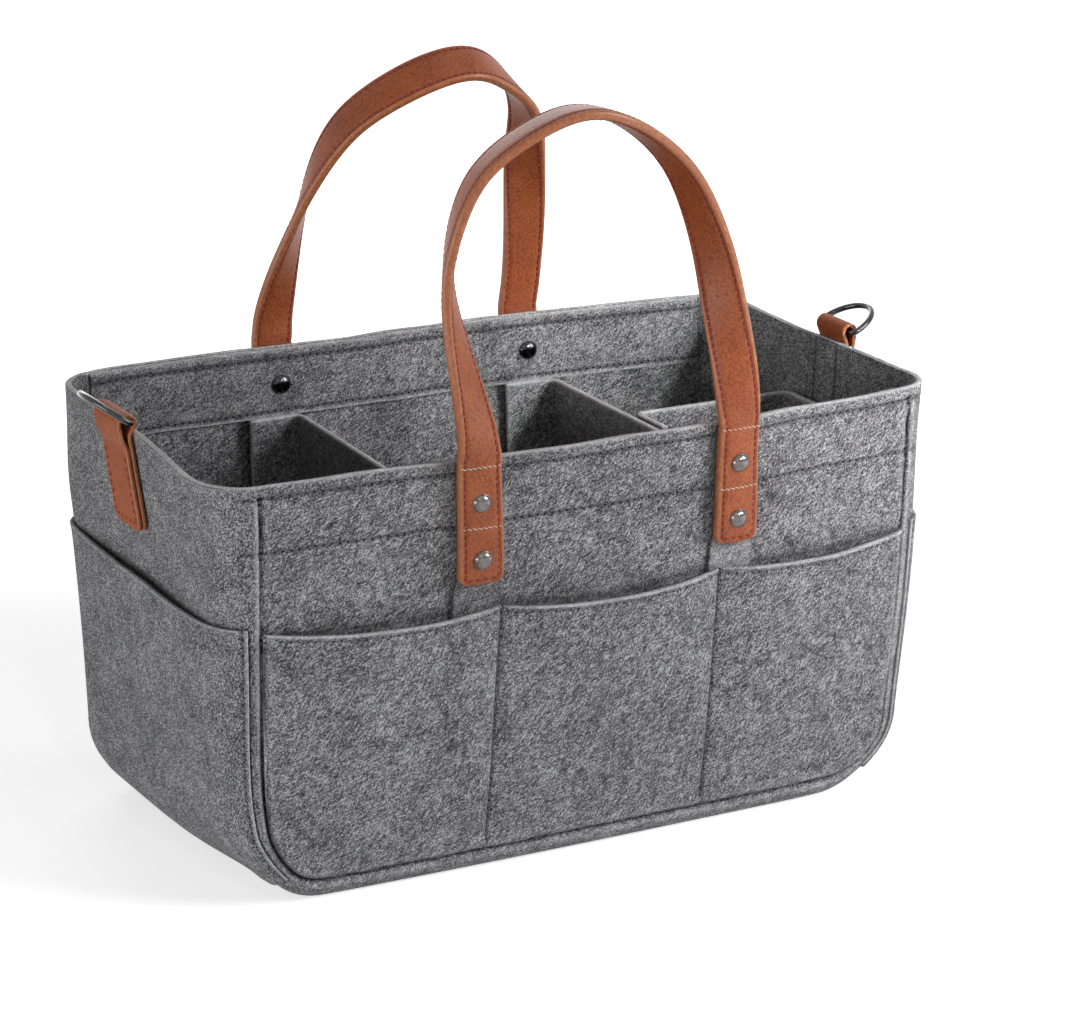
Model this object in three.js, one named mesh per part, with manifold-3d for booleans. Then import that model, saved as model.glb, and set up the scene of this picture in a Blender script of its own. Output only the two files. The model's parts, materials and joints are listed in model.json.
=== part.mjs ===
// Felt storage caddy with removable dividers, two twisted leather strap handles and a ring at each end.
// Millimetres, +Z up, +X along the length, -Y to the front. The origin is the middle of the base.

import * as THREE from 'three';
import { mergeVertices } from 'three/addons/utils/BufferGeometryUtils.js';
import Module from 'manifold-3d';

const wasm = await Module();
wasm.setup();

// Driving dimensions of the felt body
const height = 180;
const rimLength = 328;
const baseLength = 315;
const rimDepth = 172;
const baseDepth = 162;
const frontBulge = 9.5; // the rim's bow outward at mid length, front
const backBulge = 8;
const feltThickness = 2.8;
const cornerRadius = 20; // upright corners, seen from above
const baseRoll = 8; // the fold along the long edges of the base
const endCornerLength = 40; // the end walls curve under into the base
const endCornerHeight = 35;
const rimSeamInset = 14; // from an end wall's outside to the panel seam, at the rim
const baseSeamInset = 12.5; // and as if at the floor
const seamRise = 10; // from the floor to the panel seam
const seatGap = 0.3; // between pieces that touch

// Facing inside the rim, and the strips that back the straps
const facingHeight = 30;
const facingThickness = 2.2;
const facingEndMargin = 4;
const backingWidth = 21;
const backingThickness = 1.2;
const backingBottom = 60;
const rimMargin = 0.6; // layers behind the rim stop this far below it

// Outer pockets
const pocketThickness = 2.2;
const longPocketDrop = 63; // from the rim to the pocket's edge at a stitched line
const longPocketSag = 3;
const longPocketOpening = 5;
const longPocketSettle = 45; // height by which a pocket clears the backing strips
const leftStitchTopX = -47.6;
const leftStitchBottomX = -49.6;
const rightStitchTopX = 53.5;
const rightStitchBottomX = 52;
const endPocketDrop = 59;
const endPocketOpening = 5.6;

// Handles
const strapWidth = 18.6;
const strapThickness = 3.8;
const strapEdgeRadius = 1.2;
const frontStrapHalfSpan = 59; // from mid length to the middle of a strap
const backStrapHalfSpan = 60.3;
const backStrapShift = 1;
const strapDrop = 51.7; // from the rim to the end of a strap's foot
const strapFootRadius = 4;
const strapBevelHeight = 11; // the foot thins towards the bend at the rim
const strapBevelEnd = 0.8;
const bendRise = 2.4; // the bend's axis above the rim
const straightLeg = 12;
const rootTurnShare = 0.85; // of a quarter turn, by which the loop's root is rounded under
const frontLoop = {
  rise: 135.9,
  waistRise: 72.5,
  waistSpread: 0.7,
  waistLean: 11.2,
  shoulderRise: 110.3,
  shoulderHalfSpan: 42.5,
  shoulderLean: 6.4,
  topLean: -7.4,
  skew: -18.6,
  topTiltDegrees: 4.5,
  twistShare: 1,
};
const backLoop = {
  rise: 120.6,
  waistRise: 62,
  waistSpread: -6.5,
  waistLean: 7.2,
  shoulderRise: 99.5,
  shoulderHalfSpan: 39.7,
  shoulderLean: 22,
  topLean: 39.7,
  skew: 14.5,
  topTiltDegrees: 36,
  twistShare: 1.47,
};

// Rivets through the feet of the straps
const rivetDrops = [16.5, 40.7];
const rivetHeadRadius = 4;
const rivetHeadHeight = 2.1;
const rivetRimHeight = 0.5;
const rivetShankRadius = 1.5;
const rivetHoleRadius = 1.9;
const capRadius = 4.3;
const capHeight = 1.9;
const capRoof = 0.8;
const drillDepth = 30; // of the cuts for the rivets, past every layer

// Ring tabs on the end walls, and their rings
const tabWidth = 21;
const tabLayer = 1.8;
const tabSlot = 0.3;
const tabDrop = 41;
const tabFootRadius = 4;
const eyeRise = 4; // the ring's straight side above the rim
const eyeOuterRadius = 3.9;
const ringWireRadius = 1.3;
const ringSideGap = 1.2;
const ringReach = 17;
const ringCornerRadius = 2.2;
const leftTabShift = 11; // of the eye, towards the back
const leftTabLean = -9; // of the foot from below the eye
const rightTabShift = -5;
const rightTabLean = 0;
const leftRingDegrees = 34; // above level, pointing outward
const rightRingDegrees = 27;

// Dividers
const dividerThickness = 2.6;
const dividerDrop = 29; // from the rim to the divider's top
const dividerLower = 16; // above it the folded ends run, below it only the plate
const dividerFold = 24;
const dividerBend = 4;
const dividerClearance = 1; // under the plate
const leftDividerFrontX = -58;
const leftDividerBackX = -51.5;
const rightDividerX = 74;
const crossDividerY = 19;
const tapeThickness = 2.2;
const tapeWidth = 14;
const tapeBottom = 30;
const tapeMargin = 25; // from the divider's top to the tape

// Facet counts
const wallColumns = 16;
const wallRows = 4;
const cornerSteps = 5;
const baseSteps = 3;
const curlSteps = 4;
const flatSteps = 2;
const pocketColumns = 7;
const pocketRows = 5;
const endPocketCurlSteps = 3; // of the curl's steps
const endPocketCornerSteps = 3; // of the corner's steps
const endPocketColumns = 8;
const loopSteps = 44;
const rootSteps = 3;
const roundSteps = 4;
const wireSides = 8;
const ringArcSteps = 16;
const lathePoints = 3;
const latheSides = 14;
const holeSides = 12;
const bendSteps = 3;
const lastPlace = 3; // of the end wall's profile: a wall, a corner and the base
const probeShare = 0.01; // of a place or a curl, between the points that give a normal

const felt = { color: 0x8b8b8d, roughness: 0.95, metalness: 0 };
const facingFelt = { color: 0x7f7f82, roughness: 0.95, metalness: 0 };
const leather = { color: 0xa9623c, roughness: 0.55, metalness: 0 };
const nickel = { color: 0x3b3b3e, roughness: 0.25, metalness: 1 };
const blackNickel = { color: 0x17171a, roughness: 0.2, metalness: 1 };
const tapeNylon = { color: 0x2a2a2c, roughness: 0.9, metalness: 0 };

const caddy = new THREE.Group();
const lerp = THREE.MathUtils.lerp;
const radians = THREE.MathUtils.degToRad;
const quarterTurn = Math.PI / 2;
const point = (x, y, z) => new THREE.Vector3(x, y, z);
const steps = (count) => Array.from({ length: count + 1 }, (unused, i) => i / count);

function add(name, geometry, look) {
  const mesh = new THREE.Mesh(geometry, new THREE.MeshStandardMaterial(look));
  mesh.name = name;
  caddy.add(mesh);
  return mesh;
}

// Closed meshes

function signedVolume(positions, index) {
  const corners = [point(), point(), point()];
  let volume = 0;
  for (let i = 0; i < index.length; i += corners.length) {
    corners.forEach((corner, k) => corner.fromArray(positions, index[i + k] * corners.length));
    volume += corners[0].dot(corners[1].clone().cross(corners[2]));
  }
  return volume;
}

function closedMesh(points, quads, fans = []) {
  const positions = points.flatMap((p) => [p.x, p.y, p.z]);
  let index = quads.flatMap(([a, b, c, d]) => [a, b, c, a, c, d]);
  for (const fan of fans) {
    for (let k = 1; k < fan.length - 1; k++) index.push(fan[0], fan[k], fan[k + 1]);
  }
  if (signedVolume(positions, index) < 0) index = index.reverse();
  const geometry = new THREE.BufferGeometry();
  geometry.setAttribute('position', new THREE.Float32BufferAttribute(positions, 3));
  geometry.setIndex(index);
  geometry.computeVertexNormals();
  return geometry;
}

// A sheet between two grids of points of the same size
function sheet(face, backing) {
  const rows = face.length;
  const columns = face[0].length;
  const at = (layer, i, j) => (layer * rows + i) * columns + j;
  const quads = [];
  for (let i = 0; i < rows - 1; i++) {
    for (let j = 0; j < columns - 1; j++) {
      quads.push([at(0, i, j), at(0, i, j + 1), at(0, i + 1, j + 1), at(0, i + 1, j)]);
      quads.push([at(1, i, j), at(1, i + 1, j), at(1, i + 1, j + 1), at(1, i, j + 1)]);
    }
  }
  const lastRow = rows - 1;
  for (let j = 0; j < columns - 1; j++) {
    quads.push([at(0, 0, j), at(1, 0, j), at(1, 0, j + 1), at(0, 0, j + 1)]);
    quads.push([at(0, lastRow, j), at(0, lastRow, j + 1), at(1, lastRow, j + 1), at(1, lastRow, j)]);
  }
  const lastColumn = columns - 1;
  for (let i = 0; i < rows - 1; i++) {
    quads.push([at(0, i, 0), at(0, i + 1, 0), at(1, i + 1, 0), at(1, i, 0)]);
    quads.push([at(0, i, lastColumn), at(1, i, lastColumn), at(1, i + 1, lastColumn), at(0, i + 1, lastColumn)]);
  }
  return closedMesh([...face.flat(), ...backing.flat()], quads);
}

// A skin through rings of points: capped at both ends, or joined end to end
function loft(rings, joined = false) {
  const sides = rings[0].length;
  const at = (i, j) => (i % rings.length) * sides + (j % sides);
  const quads = [];
  const spans = joined ? rings.length : rings.length - 1;
  for (let i = 0; i < spans; i++) {
    for (let j = 0; j < sides; j++) quads.push([at(i, j), at(i, j + 1), at(i + 1, j + 1), at(i + 1, j)]);
  }
  const first = rings[0].map((unused, j) => at(0, j));
  const last = rings[0].map((unused, j) => at(rings.length - 1, j));
  return closedMesh(rings.flat(), quads, joined ? [] : [first.reverse(), last]);
}

function solid(geometry) {
  const bare = geometry.clone();
  bare.deleteAttribute('normal');
  bare.deleteAttribute('uv');
  const welded = mergeVertices(bare);
  const vertProperties = new Float32Array(welded.attributes.position.array);
  const triVerts = new Uint32Array(welded.index.array);
  return new wasm.Manifold(new wasm.Mesh({ numProp: 3, vertProperties, triVerts }));
}

function geometryOf(manifold) {
  const mesh = manifold.getMesh();
  const geometry = new THREE.BufferGeometry();
  geometry.setAttribute('position', new THREE.BufferAttribute(new Float32Array(mesh.vertProperties), 3));
  geometry.setIndex(new THREE.BufferAttribute(new Uint32Array(mesh.triVerts), 1));
  geometry.computeVertexNormals();
  return geometry;
}

// The outer surface of the body. A wall has its side, the bow of its rim and the places of its straps.

const front = { side: -1, bulge: frontBulge, straps: [-frontStrapHalfSpan, frontStrapHalfSpan] };
const back = {
  side: 1,
  bulge: backBulge,
  straps: [backStrapShift - backStrapHalfSpan, backStrapShift + backStrapHalfSpan],
};
const halfLength = (z) => lerp(baseLength, rimLength, z / height) / 2;
const halfSeamLength = (z) => halfLength(z) - lerp(baseSeamInset, rimSeamInset, z / height);
const halfDepth = (z) => lerp(baseDepth, rimDepth, z / height) / 2;

// A point at a level distance outside the wall's outer face, so that the rims stay level
function wallPoint(wall, x, z, outside) {
  const share = x / (rimLength / 2);
  const bulge = (wall.bulge * z) / height;
  const slope = (-2 * bulge * share) / (rimLength / 2);
  const normal = new THREE.Vector2(-slope, 1).normalize();
  const depth = halfDepth(z) + bulge * (1 - share ** 2);
  return point(x + normal.x * outside, wall.side * (depth + normal.y * outside), z);
}

function wallNormal(wall, x, z) {
  const here = wallPoint(wall, x, z, 0);
  const along = wallPoint(wall, x + feltThickness, z, 0).sub(here);
  const up = wallPoint(wall, x, z + feltThickness, 0).sub(here);
  return up.cross(along).multiplyScalar(wall.side).normalize();
}

// The end walls and the base are one strip. A place on it is 0 at the rim, 1 where the end wall starts
// to curve under, 2 where it lies flat and 3 at mid length. Each place has a point on the outermost
// profile and the point of the seam beside it, both as a distance along the length and a height.
const cornerX = halfLength(endCornerHeight) - endCornerLength;
const placeOf = (z) => (height - z) / (height - endCornerHeight);

function profileAt(place, halfLengthAt, rise) {
  if (place <= 1) {
    const z = lerp(height, endCornerHeight, place);
    return { x: halfLengthAt(z), z };
  }
  if (place <= 2) {
    const turn = (place - 1) * quarterTurn;
    const x = lerp(cornerX, halfLengthAt(endCornerHeight), Math.cos(turn));
    return { x, z: endCornerHeight - (endCornerHeight - rise) * Math.sin(turn) };
  }
  return { x: lerp(cornerX, 0, place - 2), z: rise };
}

// Across the strip, turn is 1 at a seam and 0 where the curl ends, and side says which seam
function stripPoint(end, place, side, turn) {
  const outer = profileAt(place, halfLength, 0);
  const seam = profileAt(place, halfSeamLength, seamRise);
  const roll = lerp(cornerRadius, baseRoll, THREE.MathUtils.clamp(place - 1, 0, 1));
  const seamY = wallPoint(side < 0 ? front : back, end * seam.x, seam.z, 0).y;
  const inward = 1 - Math.cos(turn * quarterTurn);
  const outward = Math.sin(turn * quarterTurn);
  const x = end * lerp(outer.x, seam.x, inward);
  return point(x, seamY - side * roll * (1 - outward), lerp(outer.z, seam.z, inward));
}

function stripNormal(end, place, side, turn) {
  const at = (p, t) => {
    const clampedPlace = THREE.MathUtils.clamp(p, 0, lastPlace);
    return stripPoint(end, clampedPlace, side, THREE.MathUtils.clamp(t, 0, 1));
  };
  const along = at(place + probeShare, turn).sub(at(place - probeShare, turn));
  const across = at(place, turn + probeShare).sub(at(place, turn - probeShare));
  const normal = along.cross(across);
  if (place <= 1) normal.setZ(0);
  const outward = at(place, turn).sub(point(0, 0, height));
  return normal.multiplyScalar(Math.sign(normal.dot(outward))).normalize();
}

// One row across the strip, or across its middle part when the curl is cut short
function stripRow(end, place, curlCount = curlSteps, flatCount = flatSteps) {
  const curlShare = curlCount / curlSteps;
  const entry = (side, turn) => ({
    at: stripPoint(end, place, side, turn),
    normal: stripNormal(end, place, side, turn),
  });
  const frontCurl = steps(curlCount).map((t) => entry(-1, curlShare * (1 - t)));
  const backCurl = steps(curlCount).map((t) => entry(1, curlShare * t));
  const from = frontCurl[curlCount];
  const to = backCurl[0];
  const flat = steps(flatCount).slice(1, -1).map((t) => ({
    at: from.at.clone().lerp(to.at, t),
    normal: from.normal.clone().lerp(to.normal, t),
  }));
  return [...frontCurl, ...flat, ...backCurl];
}

function lifted(rows, distance) {
  return rows.map((row, i) => row.map((entry, j) => {
    return entry.at.clone().addScaledVector(entry.normal, distance(i, j));
  }));
}

const wallPlaces = steps(wallRows);
const cornerPlaces = steps(cornerSteps).slice(1).map((share) => 1 + share);
const basePlaces = steps(baseSteps).slice(1).map((share) => 2 + share);
const halfPlaces = [...wallPlaces, ...cornerPlaces, ...basePlaces];
const stripRows = [
  ...halfPlaces.map((place) => stripRow(-1, place)),
  ...halfPlaces.slice(0, -1).reverse().map((place) => stripRow(1, place)),
];
add('gusset', sheet(lifted(stripRows, () => 0), lifted(stripRows, () => -feltThickness)), felt);

// Long panels, inside the seam outline

const halfPanelLength = (z) => halfSeamLength(z) - seatGap;
const panelBottom = seamRise + seatGap;
const panelOutline = [...wallPlaces, ...cornerPlaces].reverse().map((place) => {
  return profileAt(place, halfPanelLength, panelBottom);
});

function panelGrid(wall, outside) {
  return panelOutline.map(({ x, z }) => steps(wallColumns).map((share) => {
    return wallPoint(wall, lerp(-x, x, share), z, outside);
  }));
}

// A rectangular layer lying against a wall, between two distances outside its outer face
function wallLayer(wall, left, right, bottom, top, inner, outer, columns, rows) {
  const grid = (outside) => steps(rows).map((up) => steps(columns).map((along) => {
    return wallPoint(wall, lerp(left, right, along), lerp(bottom, top, up), outside);
  }));
  return sheet(grid(outer), grid(inner));
}

function wallDrill(wall, x, z, radius, depth) {
  const drill = new THREE.CylinderGeometry(radius, radius, depth, holeSides);
  const turn = new THREE.Quaternion().setFromUnitVectors(point(0, 1, 0), wallNormal(wall, x, z));
  drill.rotateY(Math.PI / holeSides).applyQuaternion(turn);
  const centre = wallPoint(wall, x, z, 0);
  return drill.translate(centre.x, centre.y, centre.z);
}

const rivetSeatsOf = (wall) => wall.straps.flatMap((x) => rivetDrops.map((drop) => ({ x, z: height - drop })));

function drilled(geometry, wall, seats) {
  let body = solid(geometry);
  for (const seat of seats) {
    body = body.subtract(solid(wallDrill(wall, seat.x, seat.z, rivetHoleRadius, drillDepth)));
  }
  return geometryOf(body);
}

const facingBottom = height - facingHeight;
const longPocketTop = height - longPocketDrop;
const endPocketTop = height - endPocketDrop;
const dividerTop = height - dividerDrop;
const tapeTop = dividerTop - tapeMargin;
const stitchLines = [
  { top: leftStitchTopX, bottom: leftStitchBottomX },
  { top: rightStitchTopX, bottom: rightStitchBottomX },
];
const facingReach = halfSeamLength(height) - facingEndMargin;
const backingInner = seatGap;
const backingOuter = backingInner + backingThickness;
const strapInner = backingOuter + seatGap;
const strapOuter = strapInner + strapThickness;
const facingOuter = -feltThickness - seatGap;
const facingInner = facingOuter - facingThickness;

// Outer pocket on a long wall: three pouches between the seams and two stitched lines
const pocketOutline = [
  ...panelOutline.filter(({ z }) => z < endCornerHeight),
  ...steps(pocketRows).map((share) => {
    return profileAt(placeOf(lerp(endCornerHeight, longPocketTop, share)), halfPanelLength, 0);
  }),
];

function pouchPoint(wall, z, left, right, share, seamShare, outside) {
  const up = (z - panelBottom) / (longPocketTop - panelBottom);
  const arch = 1 - (2 * share - 1) ** 2;
  const overStrips = THREE.MathUtils.smoothstep(z, panelBottom, longPocketSettle);
  const overSeam = THREE.MathUtils.smoothstep(seamShare, 0, 1);
  const clear = lerp(seatGap, strapInner, overStrips * overSeam);
  const open = longPocketOpening * arch * up;
  return wallPoint(wall, lerp(left, right, share), z - longPocketSag * arch * up ** 2, clear + open + outside);
}

function pocketGrid(wall, outside) {
  return pocketOutline.map(({ x, z }) => {
    const up = (z - panelBottom) / (longPocketTop - panelBottom);
    const lines = stitchLines.map((line) => lerp(line.bottom, line.top, up));
    const borders = [-x, ...lines, x];
    return borders.slice(1).flatMap((right, k) => {
      const shares = steps(pocketColumns).slice(k === 0 ? 0 : 1);
      return shares.map((share) => {
        const seamShare = k === 0 ? share : k === lines.length ? 1 - share : 1;
        return pouchPoint(wall, z, borders[k], right, share, seamShare, outside);
      });
    });
  });
}

// Rivets: a domed head on a shank, and a socketed cap inside

function domeProfile(radius, rimHeight, tall) {
  const curve = steps(lathePoints).map((share) => {
    const turn = share * quarterTurn;
    return new THREE.Vector2(radius * Math.cos(turn), rimHeight + (tall - rimHeight) * Math.sin(turn));
  });
  curve[lathePoints].x = 0;
  return [new THREE.Vector2(radius, 0), ...curve];
}

const shankLength = strapOuter + seatGap - facingInner + seatGap + capHeight - capRoof - seatGap;
const shortShankLength = shankLength - facingThickness - seatGap;

function headGeometry(length) {
  const profile = [
    new THREE.Vector2(0, -length),
    new THREE.Vector2(rivetShankRadius, -length),
    new THREE.Vector2(rivetShankRadius, 0),
    ...domeProfile(rivetHeadRadius, rivetRimHeight, rivetHeadHeight),
  ];
  return new THREE.LatheGeometry(profile, latheSides);
}

function capGeometry() {
  const socket = capHeight - capRoof;
  const profile = [
    new THREE.Vector2(0, socket),
    new THREE.Vector2(rivetHoleRadius, socket),
    new THREE.Vector2(rivetHoleRadius, 0),
    ...domeProfile(capRadius, rivetRimHeight, capHeight),
  ];
  return new THREE.LatheGeometry(profile, latheSides);
}

function seatOnWall(mesh, wall, x, z, outside, facing) {
  const normal = wallNormal(wall, x, z);
  mesh.position.copy(wallPoint(wall, x, z, 0)).addScaledVector(normal, outside);
  mesh.quaternion.setFromUnitVectors(point(0, 1, 0), normal.multiplyScalar(facing));
}

// The foot of a strap: rounded at its lower end and thinned towards the bend at the rim
function strapFoot(wall, x) {
  const bottom = height - strapDrop;
  const rounds = steps(roundSteps).map((share) => {
    const turn = share * quarterTurn;
    const half = strapWidth / 2 - strapFootRadius * (1 - Math.sin(turn));
    return { z: bottom + strapFootRadius * (1 - Math.cos(turn)), half, outer: strapOuter };
  });
  const bevel = height - strapBevelHeight;
  const rows = [
    ...rounds,
    { z: bevel, half: strapWidth / 2, outer: strapOuter },
    { z: height - seatGap, half: strapWidth / 2, outer: strapInner + strapBevelEnd },
  ];
  const grid = (pick) => rows.map((row) => steps(flatSteps).map((share) => {
    return wallPoint(wall, x + lerp(-row.half, row.half, share), row.z, pick(row));
  }));
  return sheet(grid((row) => row.outer), grid(() => strapInner));
}

// The free loop of a handle. The band stands flat to the wall at both feet and turns a quarter
// turn and the top tilt on its way up, so the edge that is outermost at the feet ends at the front.
function strapSection(centre, across, through, halfThickness) {
  const edge = Math.min(strapEdgeRadius, halfThickness / 2);
  const halfWidth = strapWidth / 2;
  const corners = [
    [halfWidth - edge, halfThickness], [-halfWidth + edge, halfThickness],
    [-halfWidth, halfThickness - edge], [-halfWidth, -halfThickness + edge],
    [-halfWidth + edge, -halfThickness], [halfWidth - edge, -halfThickness],
    [halfWidth, -halfThickness + edge], [halfWidth, halfThickness - edge],
  ];
  return corners.map(([a, t]) => centre.clone().addScaledVector(across, a).addScaledVector(through, t));
}

function loopCurve(wall, shape) {
  const axisZ = height + bendRise;
  const [leftX, rightX] = wall.straps;
  const middle = (leftX + rightX) / 2;
  const halfSpan = (rightX - leftX) / 2;
  const axisY = Math.abs(wallPoint(wall, rightX, height, strapInner + strapThickness / 2).y);
  const place = (x, rise, lean) => {
    return point(middle + x + (shape.skew * rise) / shape.rise, wall.side * (axisY - lean), axisZ + rise);
  };
  const rightSide = [
    [halfSpan, 0, 0],
    [halfSpan, straightLeg, 0],
    [halfSpan + shape.waistSpread, shape.waistRise, shape.waistLean],
    [shape.shoulderHalfSpan, shape.shoulderRise, shape.shoulderLean],
  ];
  const leftPoints = rightSide.map(([x, rise, lean]) => place(-x, rise, lean));
  const rightPoints = rightSide.map(([x, rise, lean]) => place(x, rise, lean)).reverse();
  return new THREE.CatmullRomCurve3([...leftPoints, place(0, shape.rise, shape.topLean), ...rightPoints]);
}

function strapLoop(wall, shape) {
  const points = loopCurve(wall, shape).getSpacedPoints(loopSteps);
  const rings = points.map((p, i) => {
    const tangent = points[Math.min(i + 1, loopSteps)].clone().sub(points[Math.max(i - 1, 0)]).normalize();
    if (i === 0) tangent.set(0, 0, 1);
    if (i === loopSteps) tangent.set(0, 0, -1);
    const climb = 1 - Math.abs((2 * i) / loopSteps - 1);
    const turned = Math.sin(climb * quarterTurn) ** shape.twistShare;
    const twist = quarterTurn - (quarterTurn + radians(shape.topTiltDegrees)) * turned;
    const backward = point(0, 1, 0).addScaledVector(tangent, -tangent.y).normalize();
    const inward = backward.clone().cross(tangent);
    const across = backward.multiplyScalar(Math.cos(twist)).addScaledVector(inward, Math.sin(twist));
    return strapSection(p, across, across.clone().cross(tangent), strapThickness / 2);
  });
  const root = (end, heading) => steps(rootSteps).slice(1).map((share) => {
    const turn = share * quarterTurn * rootTurnShare;
    const centre = points[end].clone();
    centre.z -= (strapThickness / 2) * Math.sin(turn);
    const half = (strapThickness / 2) * Math.cos(turn);
    const across = point(heading, 0, 0);
    return strapSection(centre, across, across.clone().cross(point(0, 0, heading)), half);
  });
  const startRoot = root(0, 1).reverse();
  const endRoot = root(loopSteps, -1);
  return loft([...startRoot, ...rings, ...endRoot]);
}

for (const [prefix, wall, shape] of [['front', front, frontLoop], ['back', back, backLoop]]) {
  const rivetSeats = rivetSeatsOf(wall);
  const panel = sheet(panelGrid(wall, 0), panelGrid(wall, -feltThickness));
  add(`${prefix}_panel`, drilled(panel, wall, rivetSeats), felt);

  const facing = wallLayer(
    wall, -facingReach, facingReach, facingBottom, height - rimMargin, facingInner, facingOuter, wallColumns, 1,
  );
  const upperSeats = rivetSeats.filter((seat) => seat.z - rivetHeadRadius > facingBottom);
  add(`${prefix}_rim_facing`, drilled(facing, wall, upperSeats), facingFelt);
  add(`${prefix}_pocket_panel`, sheet(pocketGrid(wall, pocketThickness), pocketGrid(wall, 0)), felt);

  for (const [side, x] of [['left', wall.straps[0]], ['right', wall.straps[1]]]) {
    const seats = rivetSeats.filter((seat) => seat.x === x);
    const half = backingWidth / 2;
    const backing = wallLayer(
      wall, x - half, x + half, backingBottom, height - rimMargin, backingInner, backingOuter, flatSteps, wallRows,
    );
    add(`${prefix}_${side}_strap_backing`, drilled(backing, wall, seats), facingFelt);
    add(`${prefix}_${side}_strap_foot`, drilled(strapFoot(wall, x), wall, seats), leather);
    seats.forEach((seat, k) => {
      const level = ['upper', 'lower'][k];
      const through = upperSeats.includes(seat);
      const head = add(
        `${prefix}_${side}_${level}_rivet`, headGeometry(through ? shankLength : shortShankLength), nickel,
      );
      seatOnWall(head, wall, seat.x, seat.z, strapOuter + seatGap, 1);
      const cap = add(`${prefix}_${side}_${level}_rivet_cap`, capGeometry(), blackNickel);
      seatOnWall(cap, wall, seat.x, seat.z, (through ? facingInner : -feltThickness) - seatGap, -1);
    });
  }
  add(`${prefix}_handle_loop`, strapLoop(wall, shape), leather);
}

// Outer pocket on an end wall, from its open top down into the corner under the wall
function endPocket(end) {
  const places = [
    ...steps(pocketRows).map((share) => placeOf(lerp(endPocketTop, endCornerHeight, share))),
    ...cornerPlaces.slice(0, endPocketCornerSteps),
  ];
  const topPlace = places[0];
  if (end > 0) places.reverse();
  const rows = places.map((place) => stripRow(end, place, endPocketCurlSteps, endPocketColumns));
  const away = (i, j) => {
    const arch = 1 - (rows[i][j].at.y / rows[i][0].at.y) ** 2;
    const up = Math.max((1 - places[i]) / (1 - topPlace), 0);
    return seatGap + Math.max(arch, 0) * endPocketOpening * up;
  };
  return sheet(lifted(rows, (i, j) => away(i, j) + pocketThickness), lifted(rows, away));
}

add('left_end_pocket', endPocket(-1), felt);
add('right_end_pocket', endPocket(1), felt);

// Ring tabs: a leather strip folded double, with the ring's straight side in the eye of the fold

const tabThickness = 2 * tabLayer + tabSlot;
const eyeInnerRadius = eyeOuterRadius - tabLayer;
const eyeZ = height + eyeRise;

// The fold in profile: a runs outward from the inner layer's back, z upward
function tabProfile() {
  const centre = tabThickness / 2;
  const neck = Math.acos(tabThickness / 2 / eyeOuterRadius);
  const innerNeck = Math.acos(tabSlot / 2 / eyeInnerRadius);
  const bottom = height - tabDrop;
  const lean = halfLength(height) - halfLength(bottom);
  const shape = new THREE.Shape();
  shape.moveTo(-lean, bottom);
  shape.absarc(centre, eyeZ, eyeOuterRadius, Math.PI + neck, -neck, true);
  shape.lineTo(tabThickness - lean, bottom);
  shape.lineTo(tabLayer + tabSlot - lean, bottom);
  shape.absarc(centre, eyeZ, eyeInnerRadius, -innerNeck, Math.PI + innerNeck, false);
  shape.lineTo(tabLayer - lean, bottom);
  shape.closePath();
  return shape;
}

function roundedFoot(margin) {
  const half = tabWidth / 2;
  const bottom = height - tabDrop;
  const top = eyeZ + eyeOuterRadius + margin;
  const shape = new THREE.Shape();
  shape.moveTo(-half, top);
  shape.lineTo(-half, bottom + tabFootRadius);
  shape.absarc(-half + tabFootRadius, bottom + tabFootRadius, tabFootRadius, Math.PI, Math.PI + quarterTurn, false);
  shape.absarc(half - tabFootRadius, bottom + tabFootRadius, tabFootRadius, -quarterTurn, 0, false);
  shape.lineTo(half, top);
  shape.closePath();
  return shape;
}

const tabSetback = halfLength(height) + seatGap;

// The foot may lie a little off the eye, because the strip leans along the wall
function ringTab(end, shift, lean) {
  const settings = { depth: tabWidth, bevelEnabled: false, curveSegments: curlSteps };
  const folded = new THREE.ExtrudeGeometry(tabProfile(), settings);
  folded.rotateX(quarterTurn).translate(0, tabWidth / 2, 0);
  const reach = 2 * (eyeOuterRadius + tabThickness);
  const outline = new THREE.ExtrudeGeometry(roundedFoot(eyeOuterRadius), { ...settings, depth: 2 * reach });
  outline.rotateX(quarterTurn).rotateZ(quarterTurn).translate(-reach, 0, 0);
  const geometry = geometryOf(solid(folded).intersect(solid(outline)));
  geometry.rotateZ(end < 0 ? Math.PI : 0);
  const leaning = new THREE.Matrix4();
  leaning.elements[9] = -lean / (tabDrop + eyeRise);
  return geometry.translate(0, 0, -eyeZ).applyMatrix4(leaning).translate(end * tabSetback, shift, eyeZ);
}

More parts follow.
